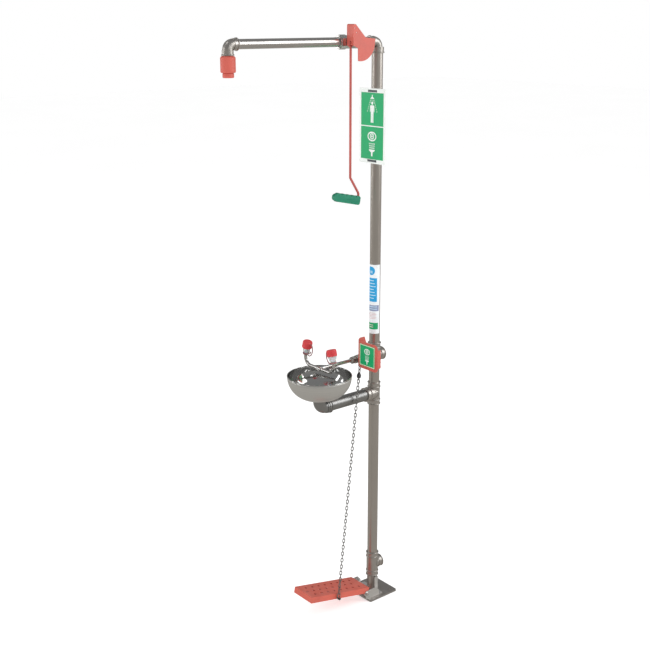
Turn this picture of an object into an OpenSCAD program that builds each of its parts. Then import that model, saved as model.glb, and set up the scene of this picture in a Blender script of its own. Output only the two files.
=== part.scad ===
// Emergency safety shower with eyewash: a floor-standing column, an overhead shower worked by a
// pull rod, and an eyewash bowl worked by a hand lever or by a foot treadle through a chain.
// Origin: column axis at the underside of the base plate. +Z up, the user stands on the -Y side.

/* [Overall] */
// Height of the shower arm's centre line
arm_height = 2275; // [1900:5:2750]
// Reach of the shower arm, column axis to shower head axis
arm_reach = 671; // [540:1:820]
// Height of the water inlet and eyewash supply line
supply_z = 1058; // [1010:1:1180]
// Height of the bowl's drain line
drain_z = 897; // [780:1:900]
// Height of the waste outlet
waste_z = 130; // [115:1:260]
// Distance of the bowl's centre in front of the column
bowl_reach = 284; // [270:1:340]

/* [Pipes] */
// Outside diameter of the column pipe
column_od = 42.4; // [35:0.1:50]
// Outside diameter of the shower arm pipe
arm_od = 33.7; // [28:0.1:40]
// Outside diameter of the drain pipe
drain_od = 48.3; // [40:0.1:50]
// Outside diameter of the eyewash supply tube
supply_od = 14; // [12:0.5:16]
// Outside diameter of the nipple between the column and the eyewash valve
nipple_od = 21.3; // [18:0.1:24]
// Wall of the large pipes
pipe_wall = 2.6; // [1.5:0.1:3.5]
// Wall of the fittings' sockets
socket_wall = 3; // [2:0.5:4]
// Depth that a pipe enters a socket
socket_depth = 18; // [12:1:22]
// Radius of the bead around a socket's mouth
bead_r = 2.6; // [1.5:0.1:3]

/* [Base] */
// Side of the square base plate
base_side = 150; // [140:5:260]
// Thickness of the base plate
base_t = 8; // [6:1:12]
// Distance between the floor bolt holes
bolt_pitch = 110; // [100:5:120]
// Diameter of a floor bolt hole
bolt_hole_d = 14; // [8:0.5:16]

/* [Shower head] */
// Outside diameter of the shower head
head_od = 52; // [46:1:90]
// Height of the shower head's body
head_h = 54; // [40:1:70]
// Outside diameter of the spray ring
rose_od = 39; // [32:1:44]
// Height of the spray ring
rose_h = 17; // [12:1:26]

/* [Shower valve and lever] */
// Distance of the shower valve's stem in front of the column
shower_stem_y = 134; // [130:1:150]
// Radius of the shower valve's barrel
shower_barrel_r = 23.5; // [22.5:0.5:24]
// Diameter of the shower valve's ball
shower_ball_d = 34; // [31:0.5:35]
// Distance of the lever's outer cheek from the centre plane
lever_side = 61; // [55:1:70]
// Width of the lever's front web
lever_web_w = 34; // [28:1:34]
// Distance of the front web from the stem's axis
lever_front = 36; // [34:1:44]
// Height of the lever's nose above the stem's axis
lever_nose = 63; // [50:1:80]
// Radius of the lever's round lobe
lever_lobe_r = 67; // [55:1:75]
// Sheet thickness of both levers
sheet_t = 2.5; // [2:0.5:3]

/* [Pull rod] */
// Diameter of the pull rod
rod_d = 9; // [6:0.5:10]
// Length of the rod's straight upper run
rod_run = 470; // [350:5:600]
// Distance that the rod's crank steps back
crank_back = 40; // [25:1:60]
// Height of the crank
crank_drop = 61; // [50:1:90]
// Length of the pull grip
grip_len = 130; // [110:1:160]
// Height of the pull grip
grip_h = 31; // [26:1:36]
// Upward tilt of the grip
grip_tilt = 12; // [5:1:20]

/* [Eyewash bowl] */
// Radius of the bowl at its rim
bowl_r = 123.8; // [110:0.1:150]
// Height of the bowl's rim above the drain line
bowl_rim_up = 135; // [128:1:150]
// Height of the bowl's floor above the drain line
bowl_floor_up = 42; // [40:1:50]
// Wall of the bowl
bowl_t = 1.5; // [1:0.1:2.5]

/* [Eyewash nozzles] */
// Straight length of each nozzle arm
nozzle_run = 54; // [40:1:60]
// Bend radius of each nozzle arm
nozzle_bend = 32; // [28:1:36]
// Inward tilt of the nozzles
nozzle_tilt = 15; // [5:1:20]
// Length of a nozzle cup
cup_len = 48; // [40:1:56]
// Outside diameter of a dust cap
cap_od = 40; // [38:1:48]
// Height of a dust cap
cap_h = 30; // [24:1:36]

/* [Eyewash lever] */
// Distance of the eyewash valve's stem in front of the column
wash_stem_y = 70; // [68:1:76]
// Distance of the push plate in front of the column
push_y = 118; // [116:1:126]
// Distance of the push plate's left edge from the centre plane
push_x = 38; // [37:1:46]
// Width of the push plate
push_w = 112; // [100:1:130]
// Height of the push plate
push_h = 109; // [96:1:118]
// Side of the square pictogram plate on the push plate
push_sign = 86; // [60:1:90]

/* [Treadle] */
// Width of the treadle
treadle_w = 114; // [95:1:140]
// Length of the treadle in front of its hinge
treadle_len = 302; // [240:1:370]
// Depth of the treadle's skirt
treadle_skirt = 25; // [24:1:32]
// Upward tilt of the treadle at rest
treadle_tilt = 12; // [8:1:13]
// Diameter of a treadle hole
treadle_hole_d = 12; // [6:1:14]
// Distance of the treadle's hinge in front of the column
hinge_y = 82; // [78:1:90]
// Height of the treadle's hinge
hinge_z = 36; // [34:1:44]

/* [Chain] */
// Wire diameter of the chain
chain_wire = 3; // [2:0.5:3.5]
// Inside length of a chain link
chain_pitch = 14; // [12:0.5:18]
// Inside width of a chain link
chain_gap = 5.5; // [5:0.5:7]

/* [Signs] */
// Width of the sign board
sign_w = 145; // [100:1:200]
// Height of the sign board
sign_h = 280; // [260:1:320]
// Thickness of the sign board
sign_t = 1.5; // [1:0.5:3]
// Height of the information label
label_h = 280; // [150:5:320]

/* [Hidden] */
$fn = 64;

// Radial clearance of a pipe in its socket, and of a part that only sits in another
fit_gap = 0.15;
// Radial clearance of a turning shaft
run_gap = 0.05;
// Clearance between a moving part and its neighbour
move_gap = 0.5;
eps = 1;
// Leg of the weld around the column's foot
weld = 2;

// Half lengths of the fittings, centre to socket mouth
tee_run = 54;
drain_run = 48;
branch_out = 42;
elbow_run = 42;
top_bend = 20;
front_bend = 19;
front_run = 37;
drain_bend = 26;
drain_out = 48;
branch_front = 52;
wash_front_run = 40;

// Shower valve, from its stem along the flow
valve_back = 38;
valve_front = 24;
tail_len = 14;
union_len = 22;
valve_bore = arm_od / 2 - pipe_wall;
shower_hex = 46;
stem_r = 6;
hub_len = 14;

// Eyewash valve
wash_barrel_r = 17;
wash_back = 28;
wash_front = 28;
wash_ball_d = 24;
wash_bore = nipple_od / 2 - pipe_wall;
wash_hex = 27;
wash_stem_r = 4.5;
union_w_len = 36;

// Dependent places
rod_tail = 34;
rod_x = lever_side - lever_web_w / 2;
rod_y = -(shower_stem_y + lever_front - sheet_t / 2);
nose_r = 6;
web_low = 11;
cheek_holes = [[29, 49], [21.5, 33]];
eye_ring = 8;
eye_wire = 3;
eye_z = arm_height - 8;
bowl_y = -bowl_reach;
rim_z = drain_z + bowl_rim_up;
floor_z = drain_z + bowl_floor_up;
nozzle_end_x = nozzle_run + nozzle_bend * cos(nozzle_tilt);
nozzle_end_z = supply_z + nozzle_bend * (1 + sin(nozzle_tilt));
cap_start = cup_len - cap_h + 8;
push_bottom = supply_z - 17;
chain_x = push_x - 7;
chain_arm = 32;
pin_r = 2.5;
end_gap = 10.5;
end_wire = 3.5;
end_len = 22;
treadle_pin_back = 166;
treadle_pin_up = 8;
skirt_low = 1;
ear_t = 3;
hinge_bolt_r = 4;
sign_top = arm_height - 169.5;
sign_y = -(column_od / 2 + 0.2 + sign_t);
band_t = 1;
band_h = 8;
label_z = supply_z + 93;

// Turns a point [y, z] about the X axis by angle a
function turn(p, a) = [p[0] * cos(a) - p[1] * sin(a), p[0] * sin(a) + p[1] * cos(a)];

// Chain ends: centre of the lever's pin and of the treadle's pin
chain_top = [chain_x, -(wash_stem_y + chain_arm), supply_z];
treadle_pin = turn([-treadle_pin_back, treadle_pin_up], -treadle_tilt);
chain_low = [treadle_w / 2 + 9, treadle_pin[0] - hinge_y, treadle_pin[1] + hinge_z];

// ---------------------------------------------------------------- general shapes

module to_front() rotate([90, 0, 0]) children();
module to_rear() rotate([-90, 0, 0]) children();
module to_side() rotate([0, 90, 0]) children();

module tube(od, wall, len) {
  difference() {
    cylinder(d = od, h = len);
    translate([0, 0, -eps]) cylinder(d = od - 2 * wall, h = len + 2 * eps);
  }
}

module ring(r, wire) rotate_extrude() translate([r, 0]) circle(wire, $fn = 24);

module hex(across, len) {
  rotate([0, 0, 30]) cylinder(d = across / cos(30), h = len, $fn = 6);
}

// Outside of a socket that runs from the fitting's centre along +Z
module socket(od, run) {
  r = od / 2 + socket_wall;
  cylinder(r = r, h = run);
  for (z = [run - bead_r, run - socket_depth - bead_r])
    translate([0, 0, z]) ring(r, bead_r);
}

// Waterway and pipe seat of that socket
module socket_bore(od, run) {
  translate([0, 0, -eps]) cylinder(r = od / 2 - pipe_wall, h = run + 2 * eps);
  translate([0, 0, run - socket_depth]) cylinder(r = od / 2 + fit_gap, h = socket_depth + eps);
}

// A hollow quarter bend in the YZ plane that starts at angle a0, bend centre at the origin
module bend(r, bore, bend_r, a0) {
  rotate([90, 0, 90]) rotate([0, 0, a0])
    rotate_extrude(angle = 90) translate([bend_r, 0]) difference() {
      circle(r);
      circle(bore);
    }
}

// A hollow socket mouth along +Z, from z = start to z = run
module elbow_mouth(od, bore, start, run) {
  r = od / 2 + socket_wall;
  difference() {
    union() {
      translate([0, 0, start]) cylinder(r = r, h = run - start);
      translate([0, 0, run - bead_r]) ring(r, bead_r);
    }
    translate([0, 0, start - eps]) cylinder(r = bore, h = run - start + 2 * eps);
    translate([0, 0, run - socket_depth]) cylinder(r = od / 2 + fit_gap, h = socket_depth + eps);
  }
}

// A plate in the XY plane with round corners
module round_plate(w, h, t, r) {
  translate([-w / 2 + r, -h / 2, 0]) cube([w - 2 * r, h, t]);
  translate([-w / 2, -h / 2 + r, 0]) cube([w, h - 2 * r, t]);
  for (x = [-1, 1], y = [-1, 1])
    translate([x * (w / 2 - r), y * (h / 2 - r), 0]) cylinder(r = r, h = t, $fn = 48);
}

// Extrudes an outline drawn in [distance to the front, height] across the X axis
module side_sheet(x, t) {
  translate([x, 0, 0]) rotate([90, 0, 90]) linear_extrude(t) scale([-1, 1]) children();
}

// ---------------------------------------------------------------- column

module base_plate() {
  color("dimgray") difference() {
    round_plate(base_side, base_side, base_t, 8);
    for (x = [-1, 1], y = [-1, 1])
      translate([x, y, 0] * bolt_pitch / 2 + [0, 0, -eps])
        cylinder(d = bolt_hole_d, h = base_t + 2 * eps);
  }
}

module column_foot() {
  color("silver") translate([0, 0, base_t]) {
    tube(column_od, pipe_wall, waste_z - tee_run + socket_depth - base_t);
    difference() {
      cylinder(r1 = column_od / 2 + weld, r2 = column_od / 2, h = weld);
      translate([0, 0, -eps]) cylinder(r = column_od / 2 - 0.1, h = weld + 2 * eps);
    }
  }
}

// A tee on the column, half of its height being run; children are its branch and branch bore
module column_tee(run) {
  difference() {
    union() {
      for (a = [0, 180]) rotate([a, 0, 0]) socket(column_od, run);
      children(0);
    }
    for (a = [0, 180]) rotate([a, 0, 0]) socket_bore(column_od, run);
    children(1);
  }
}

module waste_tee() {
  color("silver") translate([0, 0, waste_z]) column_tee(tee_run) {
    to_rear() socket(column_od, branch_out);
    to_rear() socket_bore(column_od, branch_out);
  }
}

module waste_column() {
  low = waste_z + tee_run - socket_depth;
  color("silver") translate([0, 0, low])
    tube(column_od, pipe_wall, drain_z - drain_run + socket_depth - low);
}

module drain_tee() {
  color("silver") translate([0, 0, drain_z]) column_tee(drain_run) {
    to_front() socket(drain_od, branch_front);
    to_front() socket_bore(drain_od, branch_front);
  }
}

module column_spacer() {
  low = drain_z + drain_run - socket_depth;
  color("silver") translate([0, 0, low])
    tube(column_od, pipe_wall, supply_z - tee_run + socket_depth - low);
}

// Welded disc that keeps supply water out of the waste pipe
module column_divider() {
  color("gray") translate([0, 0, drain_z + drain_run + 6])
    cylinder(r = column_od / 2 - pipe_wall - fit_gap, h = 6);
}

module inlet_cross() {
  front = wash_front_run;
  color("silver") translate([0, 0, supply_z]) column_tee(tee_run) {
    union() {
      to_rear() socket(column_od, branch_out);
      to_front() cylinder(r = nipple_od / 2 + socket_wall + 2, h = front);
      to_front() translate([0, 0, front - bead_r])
        ring(nipple_od / 2 + socket_wall + 2, bead_r);
    }
    union() {
      to_rear() socket_bore(column_od, branch_out);
      to_front() socket_bore(nipple_od, front);
    }
  }
}

module riser() {
  low = supply_z + tee_run - socket_depth;
  color("silver") translate([0, 0, low])
    tube(column_od, pipe_wall, arm_height - elbow_run + socket_depth - low);
}

module top_elbow() {
  color("silver") translate([0, 0, arm_height]) {
    translate([0, -top_bend, -top_bend]) bend(arm_od / 2 + 1.5, valve_bore, top_bend, 0);
    rotate([180, 0, 0]) elbow_mouth(column_od, valve_bore, top_bend, elbow_run);
    to_front() elbow_mouth(arm_od, valve_bore, top_bend, elbow_run);
  }
}

module valve_nipple() {
  start = elbow_run - socket_depth;
  color("silver") translate([0, -start, arm_height]) to_front()
    tube(arm_od, pipe_wall, shower_stem_y - valve_back + 12 - start);
}

// ---------------------------------------------------------------- shower valve

// Body of a ball valve with its flow along +Z and its stem along +X, stem axis at the origin
module valve_body(barrel_r, back, front, hex_across, pipe_r, ball_r, bore_r, shaft_r) {
  difference() {
    union() {
      translate([0, 0, -ball_r - 6]) cylinder(r = barrel_r, h = ball_r + 6 + front);
      translate([0, 0, -back]) hex(hex_across, back - ball_r - 4);
      to_side() cylinder(r = shaft_r + 5, h = barrel_r + 4);
    }
    translate([0, 0, -back - eps]) cylinder(r = pipe_r + fit_gap, h = 12 + eps);
    translate([0, 0, -back]) cylinder(r = bore_r, h = back);
    translate([0, 0, -ball_r - 0.1]) cylinder(r = ball_r + 0.4, h = front + ball_r + eps);
    to_side() cylinder(r = shaft_r + run_gap, h = barrel_r + 5);
  }
}

// The two ring seats that the ball turns against
module valve_seats(ball_r, bore_r, seat) {
  for (s = [-1, 1]) difference() {
    translate([0, 0, s * (ball_r - seat / 2) - seat / 2])
      cylinder(r = ball_r + 0.4 - fit_gap, h = seat);
    translate([0, 0, -2 * ball_r]) cylinder(r = bore_r, h = 4 * ball_r);
    sphere(r = ball_r + run_gap);
  }
}

// The ball, closed: its waterway stands across the flow, with a slot for the stem's tongue
module valve_ball(ball_r, bore_r, shaft_r) {
  difference() {
    rotate([90, 0, 180]) rotate_extrude() difference() {
      circle(ball_r);
      translate([-3 * ball_r, -2 * ball_r]) square([3 * ball_r + bore_r * 0.9, 4 * ball_r]);
    }
    translate([ball_r - 4, -shaft_r, -2]) cube([8, 2 * shaft_r, 4]);
  }
}

// Stem with its tongue in the ball, up to x = reach
module valve_stem(ball_r, shaft_r, reach) {
  start = ball_r + 0.2;
  translate([start, 0, 0]) to_side() cylinder(r = shaft_r, h = reach - start);
  translate([start - 3.5, -shaft_r + 0.5, -1.8]) cube([4, 2 * shaft_r - 1, 3.6]);
}

module valve_gland(barrel_r, shaft_r, len) {
  translate([barrel_r + 4, 0, 0]) to_side() difference() {
    hex(2 * shaft_r + 9, len);
    translate([0, 0, -eps]) cylinder(r = shaft_r + run_gap, h = len + 2 * eps);
  }
}

// Collar that clamps a lever's cheek to its stem; x is the cheek's inner face
module lever_hub(x, shaft_r, len) {
  translate([x - len, 0, 0]) to_side() difference() {
    cylinder(r = shaft_r + 5, h = len);
    translate([0, 0, -eps]) cylinder(r = shaft_r + run_gap, h = len + 2 * eps);
    translate([0, 0, len / 2]) rotate([90, 0, 0]) cylinder(r = 2, h = shaft_r + 8);
  }
}

module at_shower_stem() {
  translate([0, -shower_stem_y, arm_height]) children();
}

shower_ball_r = shower_ball_d / 2;

module shower_valve_body() {
  color("silver") at_shower_stem() to_front()
    valve_body(shower_barrel_r, valve_back, valve_front, 41, arm_od / 2, shower_ball_r,
               valve_bore, stem_r);
}

// Screwed end of the valve, which holds the front seat and carries the union nut
module shower_valve_tailpiece() {
  spigot = shower_ball_r;
  color("silver") at_shower_stem() to_front() difference() {
    union() {
      translate([0, 0, spigot]) cylinder(r = shower_ball_r + 0.4 - fit_gap,
                                         h = valve_front - spigot + 0.01);
      translate([0, 0, valve_front]) hex(shower_hex, tail_len);
    }
    cylinder(r = valve_bore, h = 60);
    translate([0, 0, valve_front + 4]) cylinder(r = arm_od / 2 + fit_gap, h = tail_len);
  }
}

module shower_valve_seats() {
  color("white") at_shower_stem() to_front() valve_seats(shower_ball_r, valve_bore, 5);
}

module shower_valve_gland() {
  color("silver") at_shower_stem() valve_gland(shower_barrel_r, stem_r, 6);
}

module shower_valve_ball() {
  color("gainsboro") at_shower_stem() to_front()
    valve_ball(shower_ball_r, valve_bore, stem_r);
}

module shower_valve_stem() {
  color("gainsboro") at_shower_stem() to_front()
    valve_stem(shower_ball_r, stem_r, lever_side - sheet_t - 0.2);
}

module shower_lever_hub() {
  color("silver") at_shower_stem() lever_hub(lever_side - sheet_t, stem_r, hub_len);
}

// Outer cheek: a pointed nose, a straight back and a round lobe below the stem
module lever_cheek_outline() {
  f = lever_front;
  n = lever_nose;
  lobe = lever_lobe_r;
  polygon([[f, -web_low], [f, n - nose_r], [f - nose_r, n], [f - 12, n - 2], [-22, 16],
           [-lobe - 2, 11], [-lobe + 5, -26], [-24, -32], [16, -20]]);
  intersection() {
    circle(lobe, $fn = 96);
    polygon([[0, 0], [14, -16], [13, -lobe + 2], [11, -lobe - 8], [-lobe - 8, -lobe - 8],
             [-lobe - 8, 11], [-30, 11]]);
  }
  translate([f, n] - [1, 1] * nose_r) circle(nose_r, $fn = 32);
}

// Inner cheek: a short side beside the valve
module lever_inner_outline() {
  f = lever_front;
  n = lever_nose;
  polygon([[f, -web_low], [f, n - nose_r], [f - nose_r, n], [f - 12, n - 2], [18, 34],
           [18, -22]]);
  translate([f, n] - [1, 1] * nose_r) circle(nose_r, $fn = 32);
}

module shower_lever() {
  inner_x = lever_side - lever_web_w - sheet_t;
  hole_up = eye_ring + eye_z - arm_height;
  color("tomato") at_shower_stem() difference() {
    union() {
      side_sheet(lever_side - sheet_t, sheet_t) lever_cheek_outline();
      side_sheet(inner_x, sheet_t) lever_inner_outline();
      translate([inner_x, -lever_front, -web_low])
        cube([lever_side - inner_x, sheet_t, lever_nose - nose_r + web_low]);
      side_sheet(inner_x, lever_side - inner_x) translate([lever_front, lever_nose] - [1, 1] * nose_r)
        intersection() {
          difference() {
            circle(nose_r, $fn = 32);
            circle(nose_r - sheet_t, $fn = 32);
          }
          square(nose_r + eps);
        }
    }
    translate([rod_x, 0, hole_up]) to_front() cylinder(r = eye_wire + 1.4, h = 60, $fn = 32);
    for (p = cheek_holes) translate([lever_side - sheet_t - eps, -p[0], p[1]])
      to_side() cylinder(r = 2.2, h = sheet_t + 2 * eps);
  }
}

// A leg of the rod between two points [y, z]
module rod_leg(from, to) {
  d = to - from;
  translate([0, from[0], from[1]]) rotate([-atan2(d[0], d[1]), 0, 0])
    cylinder(d = rod_d, h = norm(d));
}

// The rod's corners and end, from the eye down, as [y, z]
rod_path = [[0, -eye_ring], [0, -eye_ring - rod_run],
            [crank_back, -eye_ring - rod_run - crank_drop],
            [crank_back, -eye_ring - rod_run - crank_drop - rod_tail],
            [crank_back - (grip_len - 14) * cos(grip_tilt),
             (grip_len - 14) * sin(grip_tilt) - eye_ring - rod_run - crank_drop - rod_tail]];

// The rod's eye passes through the web and round its lower edge
module pull_rod() {
  color("indianred") translate([rod_x, rod_y, eye_z]) {
    to_side() ring(eye_ring, eye_wire);
    for (i = [1:len(rod_path) - 1]) rod_leg(rod_path[i - 1], rod_path[i]);
    for (i = [1:len(rod_path) - 2])
      translate([0, rod_path[i][0], rod_path[i][1]]) sphere(rod_d / 2 + 0.1);
  }
}

// Moulded grip: four finger swells along the top and a plain palm side
module pull_grip() {
  corner = rod_path[3];
  swell = (grip_len - 20) / 5;
  color("seagreen") translate([rod_x, rod_y + corner[0], eye_z + corner[1]])
    rotate([90 - grip_tilt, 0, 0]) difference() {
      translate([-9, 3, 0]) rotate([90, 0, 90]) linear_extrude(18) {
          translate([-grip_h / 2, 0]) square([grip_h - 4, grip_len - 20]);
          translate([-2, grip_len - 20]) circle(grip_h / 2 - 2, $fn = 48);
          for (i = [0:4]) translate([grip_h / 2 - 6, swell * (i + 0.5)])
            circle(swell / 2, $fn = 32);
        }
      translate([0, 0, -grip_h]) cylinder(d = rod_d + 2 * fit_gap, h = grip_h + grip_len - 12);
      rotate([grip_tilt, 0, 0]) translate([-rod_d / 2 - fit_gap, -rod_d / 2 - fit_gap, -rod_d])
        cube([rod_d + 2 * fit_gap, grip_h + 9, 2.9 * rod_d]);
    }
}

// ---------------------------------------------------------------- shower arm and head

arm_start = shower_stem_y + valve_front + 4;

module union_nut() {
  start = shower_stem_y + valve_front + tail_len + 0.2;
  color("silver") translate([0, -start, arm_height]) to_front() difference() {
    union() {
      hex(shower_hex, union_len - 6);
      cylinder(r = shower_hex / 2 - 1, h = union_len);
    }
    translate([0, 0, -eps]) cylinder(r = arm_od / 2 + fit_gap, h = union_len + 2 * eps);
  }
}

module shower_arm() {
  color("silver") translate([0, -arm_start, arm_height]) to_front()
    tube(arm_od, pipe_wall, arm_reach - arm_start - front_run + socket_depth);
}

module front_elbow() {
  color("silver") translate([0, -arm_reach, arm_height]) {
    translate([0, front_bend, -front_bend]) bend(arm_od / 2 + 1.5, valve_bore, front_bend, 90);
    for (a = [-90, 180])
      rotate([a, 0, 0]) elbow_mouth(arm_od, valve_bore, front_bend, front_run);
  }
}

head_top = arm_height - front_run - 1;

// Moulded shower head with its threaded spigot in the elbow
module shower_head() {
  r = head_od / 2;
  color("tomato") translate([0, -arm_reach, head_top]) difference() {
    union() {
      translate([0, 0, -head_h]) rotate_extrude()
        polygon([[0, 2], [r - 2, 0], [r, 3], [r, head_h - 5], [r - 4, head_h],
                 [0, head_h]]);
      cylinder(d = arm_od, h = socket_depth);
    }
    cylinder(r = valve_bore, h = socket_depth + eps);
    translate([0, 0, -8]) cylinder(r1 = rose_od / 2 - 4, r2 = valve_bore, h = 8.01);
    translate([0, 0, -head_h - eps])
      cylinder(r = rose_od / 2 - 4 + fit_gap, h = head_h - 8 + eps + 0.01);
  }
}

module flow_disc() {
  r = rose_od / 2 - 4;
  color("dimgray") translate([0, -arm_reach, head_top - 14]) difference() {
    cylinder(r = r, h = 4);
    for (i = [0:7]) rotate([0, 0, 45 * i]) translate([r - 5, 0, -eps])
      cylinder(r = 2, h = 4 + 2 * eps, $fn = 24);
  }
}

module spray_ring() {
  r = rose_od / 2;
  color("indianred") translate([0, -arm_reach, head_top - head_h]) difference() {
    union() {
      translate([0, 0, -rose_h]) rotate_extrude()
        polygon([[0, 0], [r - 2, 0], [r, 2], [r, rose_h - 3], [r - 1.5, rose_h - 0.2],
                 [0, rose_h - 0.2]]);
      translate([0, 0, -1]) cylinder(r = r - 4, h = head_h - 17);
    }
    translate([0, 0, 4 - rose_h]) cylinder(r = r - 7, h = rose_h + head_h);
    for (i = [0:11]) rotate([0, 0, 30 * i]) translate([r - 10, 0, -rose_h - eps])
      cylinder(r = 1.5, h = 4 + 2 * eps, $fn = 24);
    translate([0, 0, -rose_h - eps]) cylinder(r = 3, h = 4 + 2 * eps);
  }
}

// ---------------------------------------------------------------- eyewash bowl and drain

bowl_hole = 20;
bowl_flat = 34;
rim_roll = 4.4;

// Points along the bowl's curve, grown outwards by g
function bowl_curve(g, steps = 14) =
  [for (i = [0:steps]) let (a = 90 * i / steps)
    [bowl_flat + (bowl_r - bowl_flat + g) * sin(a),
     (rim_z - floor_z - rim_roll) * (1 - cos(a)) - g * cos(a)]];

module bowl() {
  outer = bowl_curve(bowl_t);
  top = rim_z - floor_z - rim_roll;
  color("silver") translate([0, bowl_y, floor_z]) rotate_extrude($fn = 96)
    polygon(concat(
      [[bowl_hole, 0]], bowl_curve(0),
      [for (a = [180:-30:-120]) [bowl_r + bowl_t / 2, top + rim_roll / 2 + 1]
                                 + rim_roll / 2 * [cos(a), sin(a)]],
      [for (i = [len(outer) - 1:-1:0]) outer[i]], [[bowl_hole, -bowl_t]]));
}

module bowl_gasket() {
  color("black") translate([0, bowl_y, floor_z + 0.05]) difference() {
    cylinder(r = bowl_hole + 7, h = 1.4);
    translate([0, 0, -eps]) cylinder(r = bowl_hole - 1, h = 4);
  }
}

// Strainer flange with its threaded tail, which clamps the bowl
module bowl_strainer() {
  tail = bowl_floor_up - drain_bend;
  r = bowl_hole - 1.2;
  color("silver") translate([0, bowl_y, floor_z + 1.5]) difference() {
    union() {
      cylinder(r1 = bowl_hole + 7, r2 = bowl_hole + 5, h = 2);
      translate([0, 0, -tail]) cylinder(r = r, h = tail + eps);
    }
    translate([0, 0, -tail - eps]) cylinder(r = r - 2.5, h = tail);
    for (n = [6, 12]) for (i = [0:n - 1]) rotate([0, 0, 360 * i / n])
      translate([n, 0, -2]) cylinder(r = 1.8, h = 6, $fn = 24);
  }
}

module bowl_lock_nut() {
  color("gray") translate([0, bowl_y, floor_z - bowl_t - 6.1]) difference() {
    cylinder(r = bowl_hole + 11, h = 6);
    translate([0, 0, -eps]) cylinder(r = bowl_hole - 1.2 + fit_gap, h = 8);
  }
}

module drain_elbow() {
  r = drain_od / 2 + 1;
  bore = bowl_hole - 1.2 + fit_gap;
  up = bowl_floor_up - bowl_t - 6.3;
  color("dimgray") translate([0, bowl_y, drain_z]) {
    translate([0, drain_bend, drain_bend]) bend(r, bore, drain_bend, 180);
    translate([0, 0, drain_bend]) difference() {
      cylinder(r = r + 1, h = up - drain_bend);
      translate([0, 0, -eps]) cylinder(r = bore, h = up);
    }
    to_rear() elbow_mouth(drain_od, bore, drain_bend, drain_out);
  }
}

module drain_pipe() {
  start = branch_front - socket_depth;
  color("dimgray") translate([0, -start, drain_z]) to_front()
    tube(drain_od, pipe_wall, bowl_reach - start - drain_out + socket_depth);
}

// ---------------------------------------------------------------- eyewash valve and nozzles

wash_ball_r = wash_ball_d / 2;

module at_wash_stem() translate([0, -wash_stem_y, supply_z]) children();

module wash_nipple() {
  start = wash_front_run - socket_depth;
  color("silver") translate([0, -start, supply_z]) to_front()
    tube(nipple_od, pipe_wall, wash_stem_y - wash_back + 12 - start);
}

module wash_valve_body() {
  color("silver") at_wash_stem() to_front()
    valve_body(wash_barrel_r, wash_back, wash_front - 10, wash_hex, nipple_od / 2, wash_ball_r,
               wash_bore, wash_stem_r);
}

module wash_valve_seats() {
  color("white") at_wash_stem() to_front() valve_seats(wash_ball_r, wash_bore, 4);
}

module wash_valve_gland() {
  color("silver") at_wash_stem() valve_gland(wash_barrel_r, wash_stem_r, 4);
}

module wash_valve_ball() {
  color("gainsboro") at_wash_stem() to_front() valve_ball(wash_ball_r, wash_bore, wash_stem_r);
}

module wash_valve_stem() {
  color("gainsboro") at_wash_stem() to_front()
    valve_stem(wash_ball_r, wash_stem_r, push_x - 0.2);
}

module push_lever_hub() {
  color("silver") at_wash_stem() lever_hub(push_x, wash_stem_r, 9);
}

// Side cheek of the push lever, with a raised tab at its front
module push_cheek_outline() {
  f = push_y - wash_stem_y;
  low = push_bottom - supply_z;
  polygon([[f, low + 8], [f - 8, low], [8, -16], [-6, -15], [-14, 8], [f - 34, push_h - 20],
           [f - 30, push_h - 8], [f - 6, push_h - 8], [f, push_h - 14]]);
  circle(16, $fn = 48);
}

module push_lever() {
  right = push_x + push_w;
  corner = 18;
  color("tomato") difference() {
    union() {
      at_wash_stem() side_sheet(push_x, sheet_t) push_cheek_outline();
      translate([push_x, -push_y, push_bottom + 8])
        cube([push_w - corner, sheet_t, push_h - 8]);
      translate([push_x + 8, -push_y, push_bottom])
        cube([push_w - corner - 8, sheet_t, 10]);
      translate([right - corner - eps, -push_y, push_bottom + corner])
        cube([corner + eps, sheet_t, push_h - 2 * corner]);
      for (z = [corner, push_h - corner])
        translate([right - corner, -push_y, push_bottom + z])
          to_rear() cylinder(r = corner, h = sheet_t);
      translate([right - sheet_t, -push_y, push_bottom + corner])
        cube([sheet_t, 16, push_h - 2 * corner]);
    }
    translate([chain_x - 5, chain_top[1], chain_top[2]]) to_side()
      cylinder(r = pin_r + run_gap, h = 30, $fn = 32);
  }
}

module push_sign_plate() {
  color("seagreen")
    translate([push_x + 52 - push_sign / 2, -push_y - 1, push_bottom + 56 - push_sign / 2])
      cube([push_sign, 1, push_sign]);
}

// Bolt across the lever's cheek that carries the chain
module push_chain_bolt() {
  color("silver") translate([chain_x, chain_top[1], chain_top[2]]) to_side() {
    translate([0, 0, -6]) cylinder(r = pin_r, h = 14 + sheet_t);
    translate([0, 0, -8]) cylinder(r = 5.5, h = 2);
    translate([0, 0, push_x - chain_x + sheet_t]) hex(10, 4);
  }
}

module wash_union() {
  start = wash_stem_y + wash_front - 10;
  color("silver") translate([0, -start, supply_z]) to_front() difference() {
    union() {
      translate([0, 0, wash_ball_r - wash_front + 10])
        cylinder(r = wash_ball_r + 0.4 - fit_gap, h = wash_front - 10 - wash_ball_r + 0.01);
      hex(wash_hex + 3, 14);
      translate([0, 0, 14]) cylinder(r = 13, h = 4);
      translate([0, 0, 18]) hex(wash_hex, 14);
      translate([0, 0, 32]) cylinder(r1 = 12, r2 = supply_od / 2 + 1.5, h = 8);
    }
    translate([0, 0, -20]) cylinder(r = supply_od / 2 - 1.5, h = 80);
    translate([0, 0, 24]) cylinder(r = supply_od / 2 + fit_gap, h = 80);
  }
}

module supply_tube() {
  start = wash_stem_y + wash_front - 10 + 24;
  color("silver") translate([0, -start, supply_z]) to_front()
    tube(supply_od, 1.5, bowl_reach - start - 8);
}

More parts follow.
